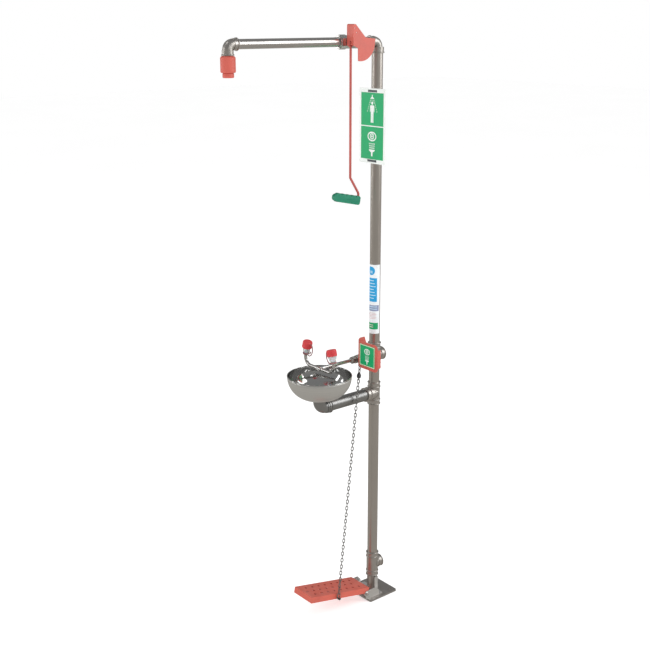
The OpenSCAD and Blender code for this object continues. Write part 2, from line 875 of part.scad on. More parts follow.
// Centre block and the two curved arms that carry the nozzles
module nozzle_manifold() {
  tube_r = supply_od / 2 - 0.5;
  color("silver") translate([0, bowl_y, supply_z]) difference() {
    union() {
      translate([-13, 0, 0]) to_side() cylinder(r = supply_od / 2 + 2, h = 26);
      to_rear() cylinder(r = supply_od / 2 + 2, h = 20);
      for (s = [-1, 1]) mirror([s < 0 ? 1 : 0, 0, 0]) nozzle_arm(tube_r);
    }
    for (s = [-1, 1]) mirror([s < 0 ? 1 : 0, 0, 0]) nozzle_arm(tube_r - 1.5);
    to_rear() cylinder(r = tube_r - 1.5, h = 30);
    to_rear() translate([0, 0, 8]) cylinder(r = supply_od / 2 + fit_gap, h = 30);
  }
}

module nozzle_arm(r) {
  to_side() cylinder(r = r, h = nozzle_run);
  translate([nozzle_run, 0, nozzle_bend]) rotate([90, 0, 0]) rotate([0, 0, -90])
    rotate_extrude(angle = 90 + nozzle_tilt) translate([nozzle_bend, 0]) circle(r);
}

// Places a child on the end of the right (s = 1) or left (s = -1) nozzle arm, along its axis
module at_nozzle(s) {
  translate([s * nozzle_end_x, bowl_y, nozzle_end_z])
    rotate([0, -s * nozzle_tilt, 0]) children();
}

module nozzle_cups() {
  r = cap_od / 2 - 3.4;
  color("whitesmoke") for (s = [-1, 1]) at_nozzle(s) difference() {
    translate([0, 0, 0.05]) rotate_extrude()
      polygon([[0, 0], [9, 0], [9, 8], [12, 12], [r - 1, cap_start - 2], [r, cap_start],
               [r, cup_len], [0, cup_len]]);
    translate([0, 0, 6]) rotate_extrude()
      polygon([[0, 0], [5, 0], [5, 6], [r - 4, cap_start - 6], [r - 3, cap_start],
               [r - 3, cup_len], [0, cup_len]]);
    translate([0, 0, -eps]) cylinder(r = 5, h = 12);
  }
}

module filter_discs() {
  r = cap_od / 2 - 6.6;
  color("darkgray") for (s = [-1, 1]) at_nozzle(s) translate([0, 0, cup_len - 8])
    difference() {
      cylinder(r = r, h = 5);
      for (i = [0:5]) rotate([0, 0, 60 * i]) translate([r / 2, 0, -eps])
        cylinder(r = 2, h = 8, $fn = 24);
    }
}

module dust_cap(s) {
  r = cap_od / 2;
  color("tomato") at_nozzle(s) translate([0, 0, cap_start]) difference() {
    rotate_extrude()
      polygon([[0, 0], [r - 0.6, 0], [r, 1.5], [r, cap_h - 4], [r - 1.2, cap_h - 1.2],
               [r - 4, cap_h], [0, cap_h]]);
    translate([0, 0, -eps]) cylinder(r = r - 3, h = cap_h - 5 + eps);
  }
}

module dust_cap_left() dust_cap(-1);
module dust_cap_right() dust_cap(1);

// Elastic tethers: a collar round each cup's foot and a loop that rises beside its cap
module cap_tethers() {
  loop_r = 20;
  wire = 1.1;
  color("indianred") for (s = [-1, 1]) at_nozzle(s) {
    translate([0, 0, 2]) difference() {
      cylinder(r = 11, h = 5);
      translate([0, 0, -eps]) cylinder(r = 9 + fit_gap, h = 8);
    }
    translate([-s * (cap_od / 2 + 2.5), 0, 5]) {
      translate([s * (cap_od / 2 - 8.5), 0, 0]) rotate([0, -90 * s, 0])
        cylinder(r = 2 * wire, h = 12 + wire);
      translate([0, 0, loop_r]) rotate([90, 0, 0]) rotate([0, 0, s > 0 ? 90 : -90])
        rotate_extrude(angle = 180) translate([loop_r, 0]) circle(wire, $fn = 20);
    }
  }
}

// ---------------------------------------------------------------- chain and treadle

// A link in the XZ plane, its long axis along Z
module link(length, gap, wire) {
  r = gap / 2 + wire / 2;
  side = length - gap;
  for (m = [0, 1]) mirror([0, 0, m]) translate([0, 0, side / 2])
    rotate([90, 0, 0]) rotate_extrude(angle = 180) translate([r, 0])
      circle(wire / 2, $fn = 20);
  for (x = [-r, r]) translate([x, 0, -side / 2])
    cylinder(r = wire / 2, h = side, $fn = 20);
}

chain_vector = chain_low - chain_top;
chain_span = norm(chain_vector);
chain_lead = atan2(-chain_vector[1], -chain_vector[2]);
chain_lean = asin(chain_vector[0] / chain_span);
link_play = 0.3;
// Distance from an end pin's centre to the centre of the first plain link
end_reach = end_len - pin_r - 2 * link_play + chain_pitch / 2;
links = 2 * ceil((chain_span - 2 * end_reach) / chain_pitch / 2) + 1;
link_step = (chain_span - 2 * end_reach) / (links - 1);

module chain() {
  color("silver") translate(chain_top)
    rotate([-chain_lead, 0, 0]) rotate([0, -chain_lean, 0]) {
      for (z = [end_len / 2 - pin_r - link_play, chain_span - end_len / 2 + pin_r + link_play])
        translate([0, 0, -z]) rotate([0, 0, 90]) link(end_len, end_gap, end_wire);
      for (i = [0:links - 1]) translate([0, 0, -end_reach - i * link_step])
        rotate([0, 0, i % 2 == 0 ? 0 : 90])
          link(link_step + link_play, chain_gap, chain_wire);
    }
}

// Places a child in the treadle's own frame, hinge axis at the origin
module at_hinge() {
  translate([0, -hinge_y, hinge_z]) rotate([-treadle_tilt, 0, 0]) children();
}

module treadle() {
  back = 10;
  top = skirt_low + treadle_skirt;
  rows = 3;
  per_row = 8;
  side = treadle_w / 2;
  pitch_y = (treadle_len - 46) / (per_row - 0.5);
  color("tomato") at_hinge() difference() {
    union() {
      translate([-side, -treadle_len, skirt_low])
        cube([treadle_w, treadle_len + back, treadle_skirt]);
      for (x = [-side, side - sheet_t])
        translate([x, 0, 0]) to_side() cylinder(r = 11, h = sheet_t);
    }
    translate([sheet_t - side, sheet_t - treadle_len, skirt_low - eps])
      cube([treadle_w - 2 * sheet_t, treadle_len + back, treadle_skirt - sheet_t + eps]);
    for (row = [0:rows - 1], i = [0:per_row - 1])
      translate([(row - 1) * treadle_w * 0.27,
                 -26 - pitch_y * (i + (row == 1 ? 0.5 : 0)), top - sheet_t - eps])
        cylinder(d = treadle_hole_d, h = sheet_t + 2 * eps, $fn = 32);
    translate([0, -treadle_pin_back, treadle_pin_up]) to_side()
      cylinder(r = pin_r + run_gap, h = side + eps, $fn = 32);
    translate([-side - eps, 0, 0]) to_side()
      cylinder(r = hinge_bolt_r + run_gap, h = treadle_w + 2 * eps);
  }
}

module treadle_chain_bolt() {
  side = treadle_w / 2;
  color("silver") at_hinge() translate([side, -treadle_pin_back, treadle_pin_up]) to_side() {
    translate([0, 0, -sheet_t - 2]) cylinder(r = pin_r, h = sheet_t + 18);
    translate([0, 0, -sheet_t - 5]) hex(10, 4);
    translate([0, 0, 16]) cylinder(r = 5.5, h = 2);
  }
}

// Folded bracket: a floor web on the base plate, two hinge ears and a strap up the column
module hinge_bracket() {
  ear = treadle_w / 2 + move_gap;
  strap = column_od / 2 + weld + 0.3;
  strap_h = waste_z - tee_run - bead_r - base_t - 1;
  color("lightgray") {
    for (s = [-1, 1]) difference() {
      side_sheet(s > 0 ? ear : -ear - ear_t, ear_t) {
        polygon([[14, base_t], [hinge_y + 4, base_t], [hinge_y + 4, 24], [hinge_y, hinge_z + 12],
                 [30, hinge_z + 12], [14, 30]]);
        translate([hinge_y, hinge_z]) circle(12, $fn = 48);
      }
      translate([-ear - ear_t - eps, -hinge_y, hinge_z]) to_side()
        cylinder(r = hinge_bolt_r + run_gap, h = 2 * (ear + ear_t + eps));
    }
    difference() {
      translate([-ear, -56, base_t]) cube([2 * ear, 64, ear_t]);
      translate([0, 0, base_t - eps]) cylinder(r = column_od / 2 + 5, h = ear_t + 2 * eps);
      for (x = [-1, 1]) translate([x * bolt_pitch / 2, -bolt_pitch / 2, base_t - eps])
        cylinder(d = bolt_hole_d + 10, h = ear_t + 2 * eps);
    }
    translate([strap, -8, base_t]) cube([ear_t, 18, strap_h]);
    translate([strap, -8, base_t]) cube([10, 18, ear_t]);
  }
}

module hinge_bolts() {
  ear = treadle_w / 2 + move_gap + ear_t;
  grip = ear_t + sheet_t + move_gap;
  color("silver") for (s = [0, 1]) mirror([s, 0, 0])
    translate([ear, -hinge_y, hinge_z]) to_side() {
      translate([0, 0, -grip - 3]) cylinder(r = hinge_bolt_r, h = grip + 3.01);
      hex(13, 5);
      translate([0, 0, -grip - 6]) cylinder(r = 7, h = 3);
    }
}

// ---------------------------------------------------------------- signs

module sign_board() {
  slot_x = column_od / 2 + 2.4;
  color("white") difference() {
    translate([-sign_w / 2, sign_y, sign_top - sign_h]) cube([sign_w, sign_t, sign_h]);
    for (z = [band_h + 2, sign_h - band_h - 2], s = [-1, 1])
      translate([s * slot_x - 2, sign_y - eps, sign_top - z - band_h / 2 - 0.5])
        cube([4, sign_t + 2 * eps, band_h + 1]);
  }
}

module sign_panels() {
  side = (sign_h - 4 * band_h - 4) / 2;
  color("seagreen") for (i = [0, 1])
    translate([-sign_w / 2 + 10, sign_y - 0.4,
               sign_top - 2 * band_h - side - i * (side + 4)])
      cube([sign_w - 20, 0.4, side]);
}

module sign_bands() {
  r = column_od / 2 + fit_gap;
  slot_x = column_od / 2 + 2.4;
  front = -sign_y;
  color("gray") for (z = [band_h + 2, sign_h - band_h - 2])
    translate([0, 0, sign_top - z - band_h / 2]) difference() {
      union() {
        cylinder(r = r + band_t, h = band_h);
        translate([-slot_x - band_t / 2, -front - band_t, 0])
          cube([2 * slot_x + band_t, front + band_t - 12, band_h]);
      }
      translate([0, 0, -eps]) cylinder(r = r, h = band_h + 2 * eps);
      translate([band_t / 2 - slot_x, -front - 0.05, -eps])
        cube([2 * slot_x - band_t, front - 12, band_h + 2 * eps]);
    }
}

module info_label() {
  color("aliceblue") translate([0, 0, label_z]) rotate([0, 0, -196])
    rotate_extrude(angle = 212) translate([column_od / 2 + 0.05, 0]) square([0.5, label_h]);
}

base_plate();
column_foot();
waste_tee();
waste_column();
drain_tee();
column_spacer();
column_divider();
inlet_cross();
riser();
top_elbow();
valve_nipple();
shower_valve_body();
shower_valve_tailpiece();
shower_valve_seats();
shower_valve_gland();
shower_valve_ball();
shower_valve_stem();
shower_lever_hub();
shower_lever();
pull_rod();
pull_grip();
union_nut();
shower_arm();
front_elbow();
shower_head();
flow_disc();
spray_ring();
bowl();
bowl_gasket();
bowl_strainer();
bowl_lock_nut();
drain_elbow();
drain_pipe();
wash_nipple();
wash_valve_body();
wash_valve_seats();
wash_valve_gland();
wash_valve_ball();
wash_valve_stem();
push_lever_hub();
push_lever();
push_sign_plate();
push_chain_bolt();
wash_union();
supply_tube();
nozzle_manifold();
nozzle_cups();
filter_discs();
dust_cap_left();
dust_cap_right();
cap_tethers();
chain();
treadle();
treadle_chain_bolt();
hinge_bracket();
hinge_bolts();
sign_board();
sign_panels();
sign_bands();
info_label();
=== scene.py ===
"""Finishes, fine meshes, light and camera for an emergency safety shower with an eyewash.

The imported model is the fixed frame. Sizes are in metres, +Z is up and the user stands on the
-Y side of the column, whose axis is the Z axis.
"""

import logging
import math
from dataclasses import dataclass
from enum import Enum
from typing import Callable, Iterable, Sequence

import bmesh
import bpy
from mathutils import Matrix, Vector


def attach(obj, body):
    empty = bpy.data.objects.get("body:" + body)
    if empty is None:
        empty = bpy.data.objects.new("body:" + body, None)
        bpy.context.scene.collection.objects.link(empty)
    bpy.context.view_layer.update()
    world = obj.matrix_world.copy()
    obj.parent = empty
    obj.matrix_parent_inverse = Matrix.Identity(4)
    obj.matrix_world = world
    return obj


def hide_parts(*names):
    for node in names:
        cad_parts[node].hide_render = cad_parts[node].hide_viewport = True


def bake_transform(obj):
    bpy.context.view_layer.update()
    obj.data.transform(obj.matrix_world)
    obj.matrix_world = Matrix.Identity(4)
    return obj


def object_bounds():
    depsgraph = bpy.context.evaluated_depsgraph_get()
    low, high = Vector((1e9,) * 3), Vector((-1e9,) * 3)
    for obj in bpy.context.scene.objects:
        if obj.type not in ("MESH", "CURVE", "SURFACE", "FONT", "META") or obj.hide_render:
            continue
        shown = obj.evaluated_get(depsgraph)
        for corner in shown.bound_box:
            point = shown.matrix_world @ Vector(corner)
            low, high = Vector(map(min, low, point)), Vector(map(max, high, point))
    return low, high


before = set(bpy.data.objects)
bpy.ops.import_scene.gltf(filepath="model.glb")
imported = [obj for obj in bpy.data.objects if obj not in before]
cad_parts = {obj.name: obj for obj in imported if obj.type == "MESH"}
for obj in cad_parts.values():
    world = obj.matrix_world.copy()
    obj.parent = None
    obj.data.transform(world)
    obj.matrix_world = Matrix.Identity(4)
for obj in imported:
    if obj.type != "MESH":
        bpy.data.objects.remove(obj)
CAD_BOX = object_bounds()

LOG = logging.getLogger("safety_shower")
Colour = tuple[float, float, float]
Outline = list[tuple[float, float]]
Placer = Callable[[float, float, float], Vector]

# How far a sign's enamel picture stands proud of its panel
ENAMEL = 0.00025
# Corners nearer to each other than this are one corner
SAME_CORNER = 1e-7


class Body(Enum):
    """The bodies that the fine pieces move with."""

    STAND = "stand"
    PULL_HANDLE = "pull_handle"
    PUSH_LEVER = "push_lever_group"
    CHAIN = "chain_run"
    TREADLE = "treadle_group"
    CAP_LEFT = "cap_left"
    CAP_RIGHT = "cap_right"


class Slot(Enum):
    """Material slot names passed with the fine pieces."""

    STEEL_FITTING = "steel_fitting"
    BOWL_STEEL = "bowl_steel"
    BRIGHT_STEEL = "bright_steel"
    RED_PAINT = "red_paint"
    RED_PLASTIC = "red_plastic"
    GREEN_PLASTIC = "green_plastic"
    WHITE_PLASTIC = "white_plastic"
    TETHER_RUBBER = "tether_rubber"
    SIGN_WHITE = "sign_white"
    LABEL_FILM = "label_film"


# ------------------------------------------------------------------ node trees


class Wiring:
    """Short hand for adding and joining the nodes of one tree."""

    def __init__(self, tree: bpy.types.NodeTree) -> None:
        """Starts on an empty tree."""
        self.tree = tree
        tree.nodes.clear()

    def add(self, kind: str, settings: dict | None = None, **inputs: object) -> bpy.types.Node:
        """Adds a node.

        Args:
            kind: the node's type name without its ShaderNode prefix.
            settings: the node's own options.
            **inputs: values or sockets for its inputs, with _ for a space.

        Returns:
            The new node.
        """
        node = self.tree.nodes.new(kind if kind.startswith("Node") else "ShaderNode" + kind)
        for key, value in (settings or {}).items():
            setattr(node, key, value)
        for key, value in inputs.items():
            name = key.replace("_", " ").strip()
            socket = node.inputs[int(name)] if name.isdigit() else node.inputs[name]
            if isinstance(value, bpy.types.NodeSocket):
                self.tree.links.new(value, socket)
            else:
                socket.default_value = value
        return node

    def math(self, operation: str, a: object, b: object = 0.0) -> bpy.types.NodeSocket:
        """Returns the result of a math node on two values or sockets."""
        node = self.add("Math", {"operation": operation}, _0=a, _1=b)
        return node.outputs[0]

    def span(self, value: object, low: float, high: float, to_low: float, to_high: float,
             smooth: bool = False) -> bpy.types.NodeSocket:
        """Maps a value from one span to another.

        Args:
            value: the socket to map.
            low: value that gives to_low.
            high: value that gives to_high.
            to_low: result at low.
            to_high: result at high.
            smooth: True for soft shoulders.

        Returns:
            The mapped socket.
        """
        node = self.add("MapRange", {"interpolation_type": "SMOOTHSTEP" if smooth else "LINEAR"},
                        Value=value)
        for name, number in (("From Min", low), ("From Max", high), ("To Min", to_low),
                             ("To Max", to_high)):
            node.inputs[name].default_value = number
        return node.outputs["Result"]

    def blend(self, share: object, a: object, b: object) -> bpy.types.NodeSocket:
        """Mixes two colours.

        Args:
            share: number or socket from 0 to 1.
            a: colour or socket at 0.
            b: colour or socket at 1.

        Returns:
            The mixed colour.
        """
        node = self.add("Mix", {"data_type": "RGBA"})
        for index, value in ((0, share), (6, a), (7, b)):
            if isinstance(value, bpy.types.NodeSocket):
                self.tree.links.new(value, node.inputs[index])
            else:
                node.inputs[index].default_value = value if index == 0 else (*value, 1.0)
        return node.outputs[2]


GROUPS: dict[str, bpy.types.NodeTree] = {}


def effect(name: str, inputs: dict[str, float], outputs: Sequence[str],
           body: Callable[[Wiring, dict], dict]) -> bpy.types.NodeTree:
    """Builds a shared effect once.

    Args:
        name: the group's name.
        inputs: its number inputs with their usual values.
        outputs: names of its number outputs.
        body: wires the group; takes the wiring and the input sockets, returns output sockets.

    Returns:
        The node group.
    """
    if name in GROUPS:
        return GROUPS[name]
    tree = bpy.data.node_groups.new(name, "ShaderNodeTree")
    for key, value in inputs.items():
        socket = tree.interface.new_socket(key, in_out="INPUT", socket_type="NodeSocketFloat")
        socket.default_value = value
    for key in outputs:
        tree.interface.new_socket(key, in_out="OUTPUT", socket_type="NodeSocketFloat")
    wiring = Wiring(tree)
    entry = wiring.add("NodeGroupInput")
    made = body(wiring, {key: entry.outputs[key] for key in inputs})
    wiring.add("NodeGroupOutput", **{key.replace(" ", "_"): made[key] for key in outputs})
    GROUPS[name] = tree
    return tree


def object_point(wiring: Wiring) -> bpy.types.NodeSocket:
    """Returns the point on the surface in the object's own space."""
    return wiring.add("TexCoord").outputs["Object"]


def grinding_lines() -> bpy.types.NodeTree:
    """Fine lines left by a belt, stretched along each axis by its own share.

    Returns:
        The node group.
    """

    def body(w: Wiring, i: dict) -> dict:
        """Wires the stretched noise.

        Args:
            w: the group's wiring.
            i: its input sockets by name.

        Returns:
            Its output sockets by name.
        """
        stretch = w.add("CombineXYZ", X=i["Across X"], Y=i["Across Y"], Z=i["Across Z"])
        point = w.add("VectorMath", {"operation": "MULTIPLY"}, _0=object_point(w),
                      _1=stretch.outputs[0])
        fine = w.add("TexNoise", Vector=point.outputs[0], Scale=i["Fineness"], Detail=6.0,
                     Roughness=0.7)
        broad = w.add("TexNoise", Vector=point.outputs[0],
                      Scale=w.math("MULTIPLY", i["Fineness"], 0.17), Detail=2.0)
        mixed = w.math("ADD", w.math("MULTIPLY", fine.outputs[0], 0.65),
                       w.math("MULTIPLY", broad.outputs[0], 0.35))
        return {"Streak": w.span(mixed, 0.34, 0.66, 0.0, 1.0)}

    return effect("grinding_lines", {"Across X": 1.0, "Across Y": 1.0, "Across Z": 0.04,
                                     "Fineness": 900.0}, ["Streak"], body)


def spun_rings() -> bpy.types.NodeTree:
    """Rings left by spinning a bowl about the Z axis through a centre.

    Returns:
        The node group.
    """

    def body(w: Wiring, i: dict) -> dict:
        """Wires a noise over the distance from the axis and the height.

        Args:
            w: the group's wiring.
            i: its input sockets by name.

        Returns:
            Its output sockets by name.
        """
        part = w.add("SeparateXYZ", Vector=object_point(w))
        across = w.math("SUBTRACT", part.outputs["X"], i["Centre X"])
        along = w.math("SUBTRACT", part.outputs["Y"], i["Centre Y"])
        far = w.math("SQRT", w.math("ADD", w.math("MULTIPLY", across, across),
                                    w.math("MULTIPLY", along, along)))
        turned = w.math("ARCTAN2", along, across)
        point = w.add("CombineXYZ", X=far, Y=w.math("MULTIPLY", turned, 0.0006),
                      Z=part.outputs["Z"])
        noise = w.add("TexNoise", Vector=point.outputs[0], Scale=i["Fineness"], Detail=5.0,
                      Roughness=0.65)
        return {"Streak": w.span(noise.outputs[0], 0.33, 0.67, 0.0, 1.0)}

    return effect("spun_rings", {"Centre X": 0.0, "Centre Y": 0.0, "Fineness": 420.0},
                  ["Streak"], body)


def handling_marks() -> bpy.types.NodeTree:
    """Soft clouds and small flecks from handling and cleaning.

    Returns:
        The node group.
    """

    def body(w: Wiring, i: dict) -> dict:
        """Wires a cloud and a fleck mask.

        Args:
            w: the group's wiring.
            i: its input sockets by name.

        Returns:
            Its output sockets by name.
        """
        point = object_point(w)
        cloud = w.add("TexNoise", Vector=point, Scale=i["Cloud Scale"], Detail=4.0,
                      Roughness=0.55, Distortion=0.6)
        fleck = w.add("TexNoise", Vector=point, Scale=i["Fleck Scale"], Detail=3.0,
                      Roughness=0.7)
        return {"Cloud": w.span(cloud.outputs[0], 0.32, 0.68, 0.0, 1.0, True),
                "Fleck": w.span(fleck.outputs[0], 0.6, 0.72, 0.0, 1.0, True)}

    return effect("handling_marks", {"Cloud Scale": 9.0, "Fleck Scale": 240.0},
                  ["Cloud", "Fleck"], body)


def worn_edges() -> bpy.types.NodeTree:
    """Mask along sharp edges, broken up as real wear is.

    Returns:
        The node group.
    """

    def body(w: Wiring, i: dict) -> dict:
        """Wires the difference between the true and the rounded normal.

        Args:
            w: the group's wiring.
            i: its input sockets by name.

        Returns:
            Its output sockets by name.
        """
        rounded = w.add("Bevel", {"samples": 6}, Radius=i["Reach"])
        plain = w.add("NewGeometry")
        near = w.add("VectorMath", {"operation": "DOT_PRODUCT"}, _0=rounded.outputs[0],
                     _1=plain.outputs["Normal"])
        edge = w.span(near.outputs["Value"], 0.995, 0.86, 0.0, 1.0)
        noise = w.add("TexNoise", Vector=object_point(w), Scale=i["Break Scale"], Detail=5.0,
                      Roughness=0.7)
        rough = w.span(noise.outputs[0], 0.42, 0.62, 0.0, 1.0)
        return {"Mask": w.math("MULTIPLY", edge, rough)}

    return effect("worn_edges", {"Reach": 0.0012, "Break Scale": 120.0}, ["Mask"], body)


def coated_skin() -> bpy.types.NodeTree:
    """Height of a sprayed or moulded skin: a soft ripple and a fine grain.

    Returns:
        The node group.
    """

    def body(w: Wiring, i: dict) -> dict:
        """Wires the ripple and the grain.

        Args:
            w: the group's wiring.
            i: its input sockets by name.

        Returns:
            Its output sockets by name.
        """
        point = object_point(w)
        ripple = w.add("TexNoise", Vector=point, Scale=i["Ripple Scale"], Detail=1.0)
        grain = w.add("TexNoise", Vector=point, Scale=i["Grain Scale"], Detail=3.0,
                      Roughness=0.6)
        share = w.math("MULTIPLY", grain.outputs[0], i["Grain"])
        return {"Height": w.math("ADD", ripple.outputs[0], share)}

    return effect("coated_skin", {"Ripple Scale": 320.0, "Grain Scale": 1600.0, "Grain": 0.4},
                  ["Height"], body)


def settled_dust() -> bpy.types.NodeTree:
    """Mask of the thin dust that settles on faces that look up.

    Returns:
        The node group.
    """

    def body(w: Wiring, i: dict) -> dict:
        """Wires the upward share of the normal with a cloud.

        Args:
            w: the group's wiring.
            i: its input sockets by name.

        Returns:
            Its output sockets by name.
        """
        up = w.add("SeparateXYZ", Vector=w.add("NewGeometry").outputs["Normal"]).outputs["Z"]
        noise = w.add("TexNoise", Vector=object_point(w), Scale=i["Patch Scale"], Detail=6.0,
                      Roughness=0.62)
        patch = w.span(noise.outputs[0], 0.38, 0.7, 0.0, 1.0, True)
        return {"Mask": w.math("MULTIPLY", w.span(up, 0.3, 1.0, 0.0, 1.0), patch)}

    return effect("settled_dust", {"Patch Scale": 34.0}, ["Mask"], body)


def use(w: Wiring, tree: bpy.types.NodeTree, **values: float) -> bpy.types.Node:
    """Places a shared effect in a material with its own values."""
    return w.add("Group", {"node_tree": tree}, **values)


# ------------------------------------------------------------------ finishes


def shaded(name: str, build: Callable[[Wiring, bpy.types.Node], None]) -> bpy.types.Material:
    """Makes a material round one Principled shader.

    Args:
        name: the material's name.
        build: sets and wires the shader; takes the wiring and the shader node.

    Returns:
        The material.
    """
    material = bpy.data.materials.new(name)
    material.use_nodes = True
    wiring = Wiring(material.node_tree)
    shader = wiring.add("BsdfPrincipled")
    wiring.add("OutputMaterial", Surface=shader.outputs[0])
    build(wiring, shader)
    return material


def raised(w: Wiring, shader: bpy.types.Node, height: bpy.types.NodeSocket, strength: float,
           distance: float) -> None:
    """Feeds a height into the shader's normal through a bump node."""
    bump = w.add("Bump", Strength=strength, Distance=distance, Height=height)
    w.tree.links.new(bump.outputs[0], shader.inputs["Normal"])


def feed(w: Wiring, shader: bpy.types.Node, name: str, source: bpy.types.NodeSocket) -> None:
    """Joins a socket to one of the shader's inputs."""
    w.tree.links.new(source, shader.inputs[name])


def darker(colour: Colour, share: float) -> Colour:
    """Returns the colour times that share."""
    return (colour[0] * share, colour[1] * share, colour[2] * share)


@dataclass(frozen=True)
class GroundSteel:
    """Stainless steel with belt lines along the free axis."""

    name: str
    tone: Colour
    roughness: float
    lines: tuple[float, float, float] = (1.0, 1.0, 0.04)
    fineness: float = 900.0
    contrast: float = 0.12
    dust: float = 0.0

    def material(self) -> bpy.types.Material:
        """Builds the finish.

        Returns:
            The material.
        """

        def build(w: Wiring, shader: bpy.types.Node) -> None:
            """Wires tone, polish, lines and worn edges.

            Args:
                w: the material's wiring.
                shader: its Principled shader.
            """
            streak = use(w, grinding_lines(), Across_X=self.lines[0], Across_Y=self.lines[1],
                         Across_Z=self.lines[2], Fineness=self.fineness).outputs["Streak"]
            marks = use(w, handling_marks(), Cloud_Scale=7.0, Fleck_Scale=260.0)
            edge = use(w, worn_edges(), Reach=0.0009, Break_Scale=90.0).outputs["Mask"]
            cloud = marks.outputs["Cloud"]
            tone = w.blend(streak, darker(self.tone, 1.0 - self.contrast), self.tone)
            tone = w.blend(w.math("MULTIPLY", cloud, 0.35), tone, darker(self.tone, 0.86))
            tone = w.blend(w.math("MULTIPLY", edge, 0.5), tone, darker(self.tone, 1.25))
            polish = w.math("ADD", w.span(streak, 0.0, 1.0, self.roughness * 0.86,
                                          self.roughness * 1.18),
                            w.math("MULTIPLY", cloud, 0.05))
            if self.dust > 0.0:
                dust = use(w, settled_dust(), Patch_Scale=30.0).outputs["Mask"]
                share = w.math("MULTIPLY", dust, self.dust)
                tone = w.blend(share, tone, (0.36, 0.34, 0.31))
                polish = w.math("ADD", polish, w.math("MULTIPLY", share, 0.5))
            feed(w, shader, "Base Color", tone)
            feed(w, shader, "Roughness", polish)
            shader.inputs["Metallic"].default_value = 1.0
            raised(w, shader, streak, 0.12, 0.00002)

        return shaded(self.name, build)


@dataclass(frozen=True)
class SpunSteel:
    """Bowl steel with rings about the bowl's own axis."""

    name: str
    tone: Colour
    roughness: float
    centre: tuple[float, float]
    contrast: float = 0.1

    def material(self) -> bpy.types.Material:
        """Builds the finish.

        Returns:
            The material.
        """

        def build(w: Wiring, shader: bpy.types.Node) -> None:
            """Wires tone, polish and the spun rings.

            Args:
                w: the material's wiring.
                shader: its Principled shader.
            """
            ring = use(w, spun_rings(), Centre_X=self.centre[0], Centre_Y=self.centre[1],
                       Fineness=380.0).outputs["Streak"]
            marks = use(w, handling_marks(), Cloud_Scale=11.0, Fleck_Scale=330.0)
            tone = w.blend(ring, darker(self.tone, 1.0 - self.contrast), self.tone)
            tone = w.blend(w.math("MULTIPLY", marks.outputs["Fleck"], 0.2), tone,
                           darker(self.tone, 0.7))
            polish = w.math("ADD", w.span(ring, 0.0, 1.0, self.roughness * 0.8,
                                          self.roughness * 1.2),
                            w.math("MULTIPLY", marks.outputs["Cloud"], 0.04))
            feed(w, shader, "Base Color", tone)
            feed(w, shader, "Roughness", polish)
            shader.inputs["Metallic"].default_value = 1.0
            raised(w, shader, ring, 0.08, 0.00002)

        return shaded(self.name, build)


@dataclass(frozen=True)
class Coating:
    """Sprayed or powder-coated paint over sheet steel."""

    name: str
    tone: Colour
    roughness: float = 0.42
    wear: float = 0.35
    under: Colour = (0.42, 0.34, 0.31)
    dust: float = 0.0

    def material(self) -> bpy.types.Material:
        """Builds the finish.

        Returns:
            The material.
        """

        def build(w: Wiring, shader: bpy.types.Node) -> None:
            """Wires the paint, its skin and its worn edges.

            Args:
                w: the material's wiring.
                shader: its Principled shader.
            """
            marks = use(w, handling_marks(), Cloud_Scale=13.0, Fleck_Scale=300.0)
            edge = use(w, worn_edges(), Reach=0.0011, Break_Scale=150.0).outputs["Mask"]
            skin = use(w, coated_skin(), Ripple_Scale=420.0, Grain_Scale=1900.0, Grain=0.5)
            tone = w.blend(marks.outputs["Cloud"], darker(self.tone, 0.88), self.tone)
            tone = w.blend(w.math("MULTIPLY", marks.outputs["Fleck"], 0.3), tone,
                           darker(self.tone, 0.6))
            tone = w.blend(w.math("MULTIPLY", edge, self.wear), tone, self.under)
            polish = w.span(marks.outputs["Cloud"], 0.0, 1.0, self.roughness - 0.04,
                            self.roughness + 0.07)
            if self.dust > 0.0:
                dust = use(w, settled_dust(), Patch_Scale=26.0).outputs["Mask"]
                share = w.math("MULTIPLY", dust, self.dust)
                tone = w.blend(share, tone, (0.5, 0.4, 0.36))
                polish = w.math("ADD", polish, w.math("MULTIPLY", share, 0.4))
            feed(w, shader, "Base Color", tone)
            feed(w, shader, "Roughness", polish)
            shader.inputs["Coat Weight"].default_value = 0.12
            shader.inputs["Coat Roughness"].default_value = 0.2
            raised(w, shader, skin.outputs["Height"], 0.18, 0.00008)

        return shaded(self.name, build)


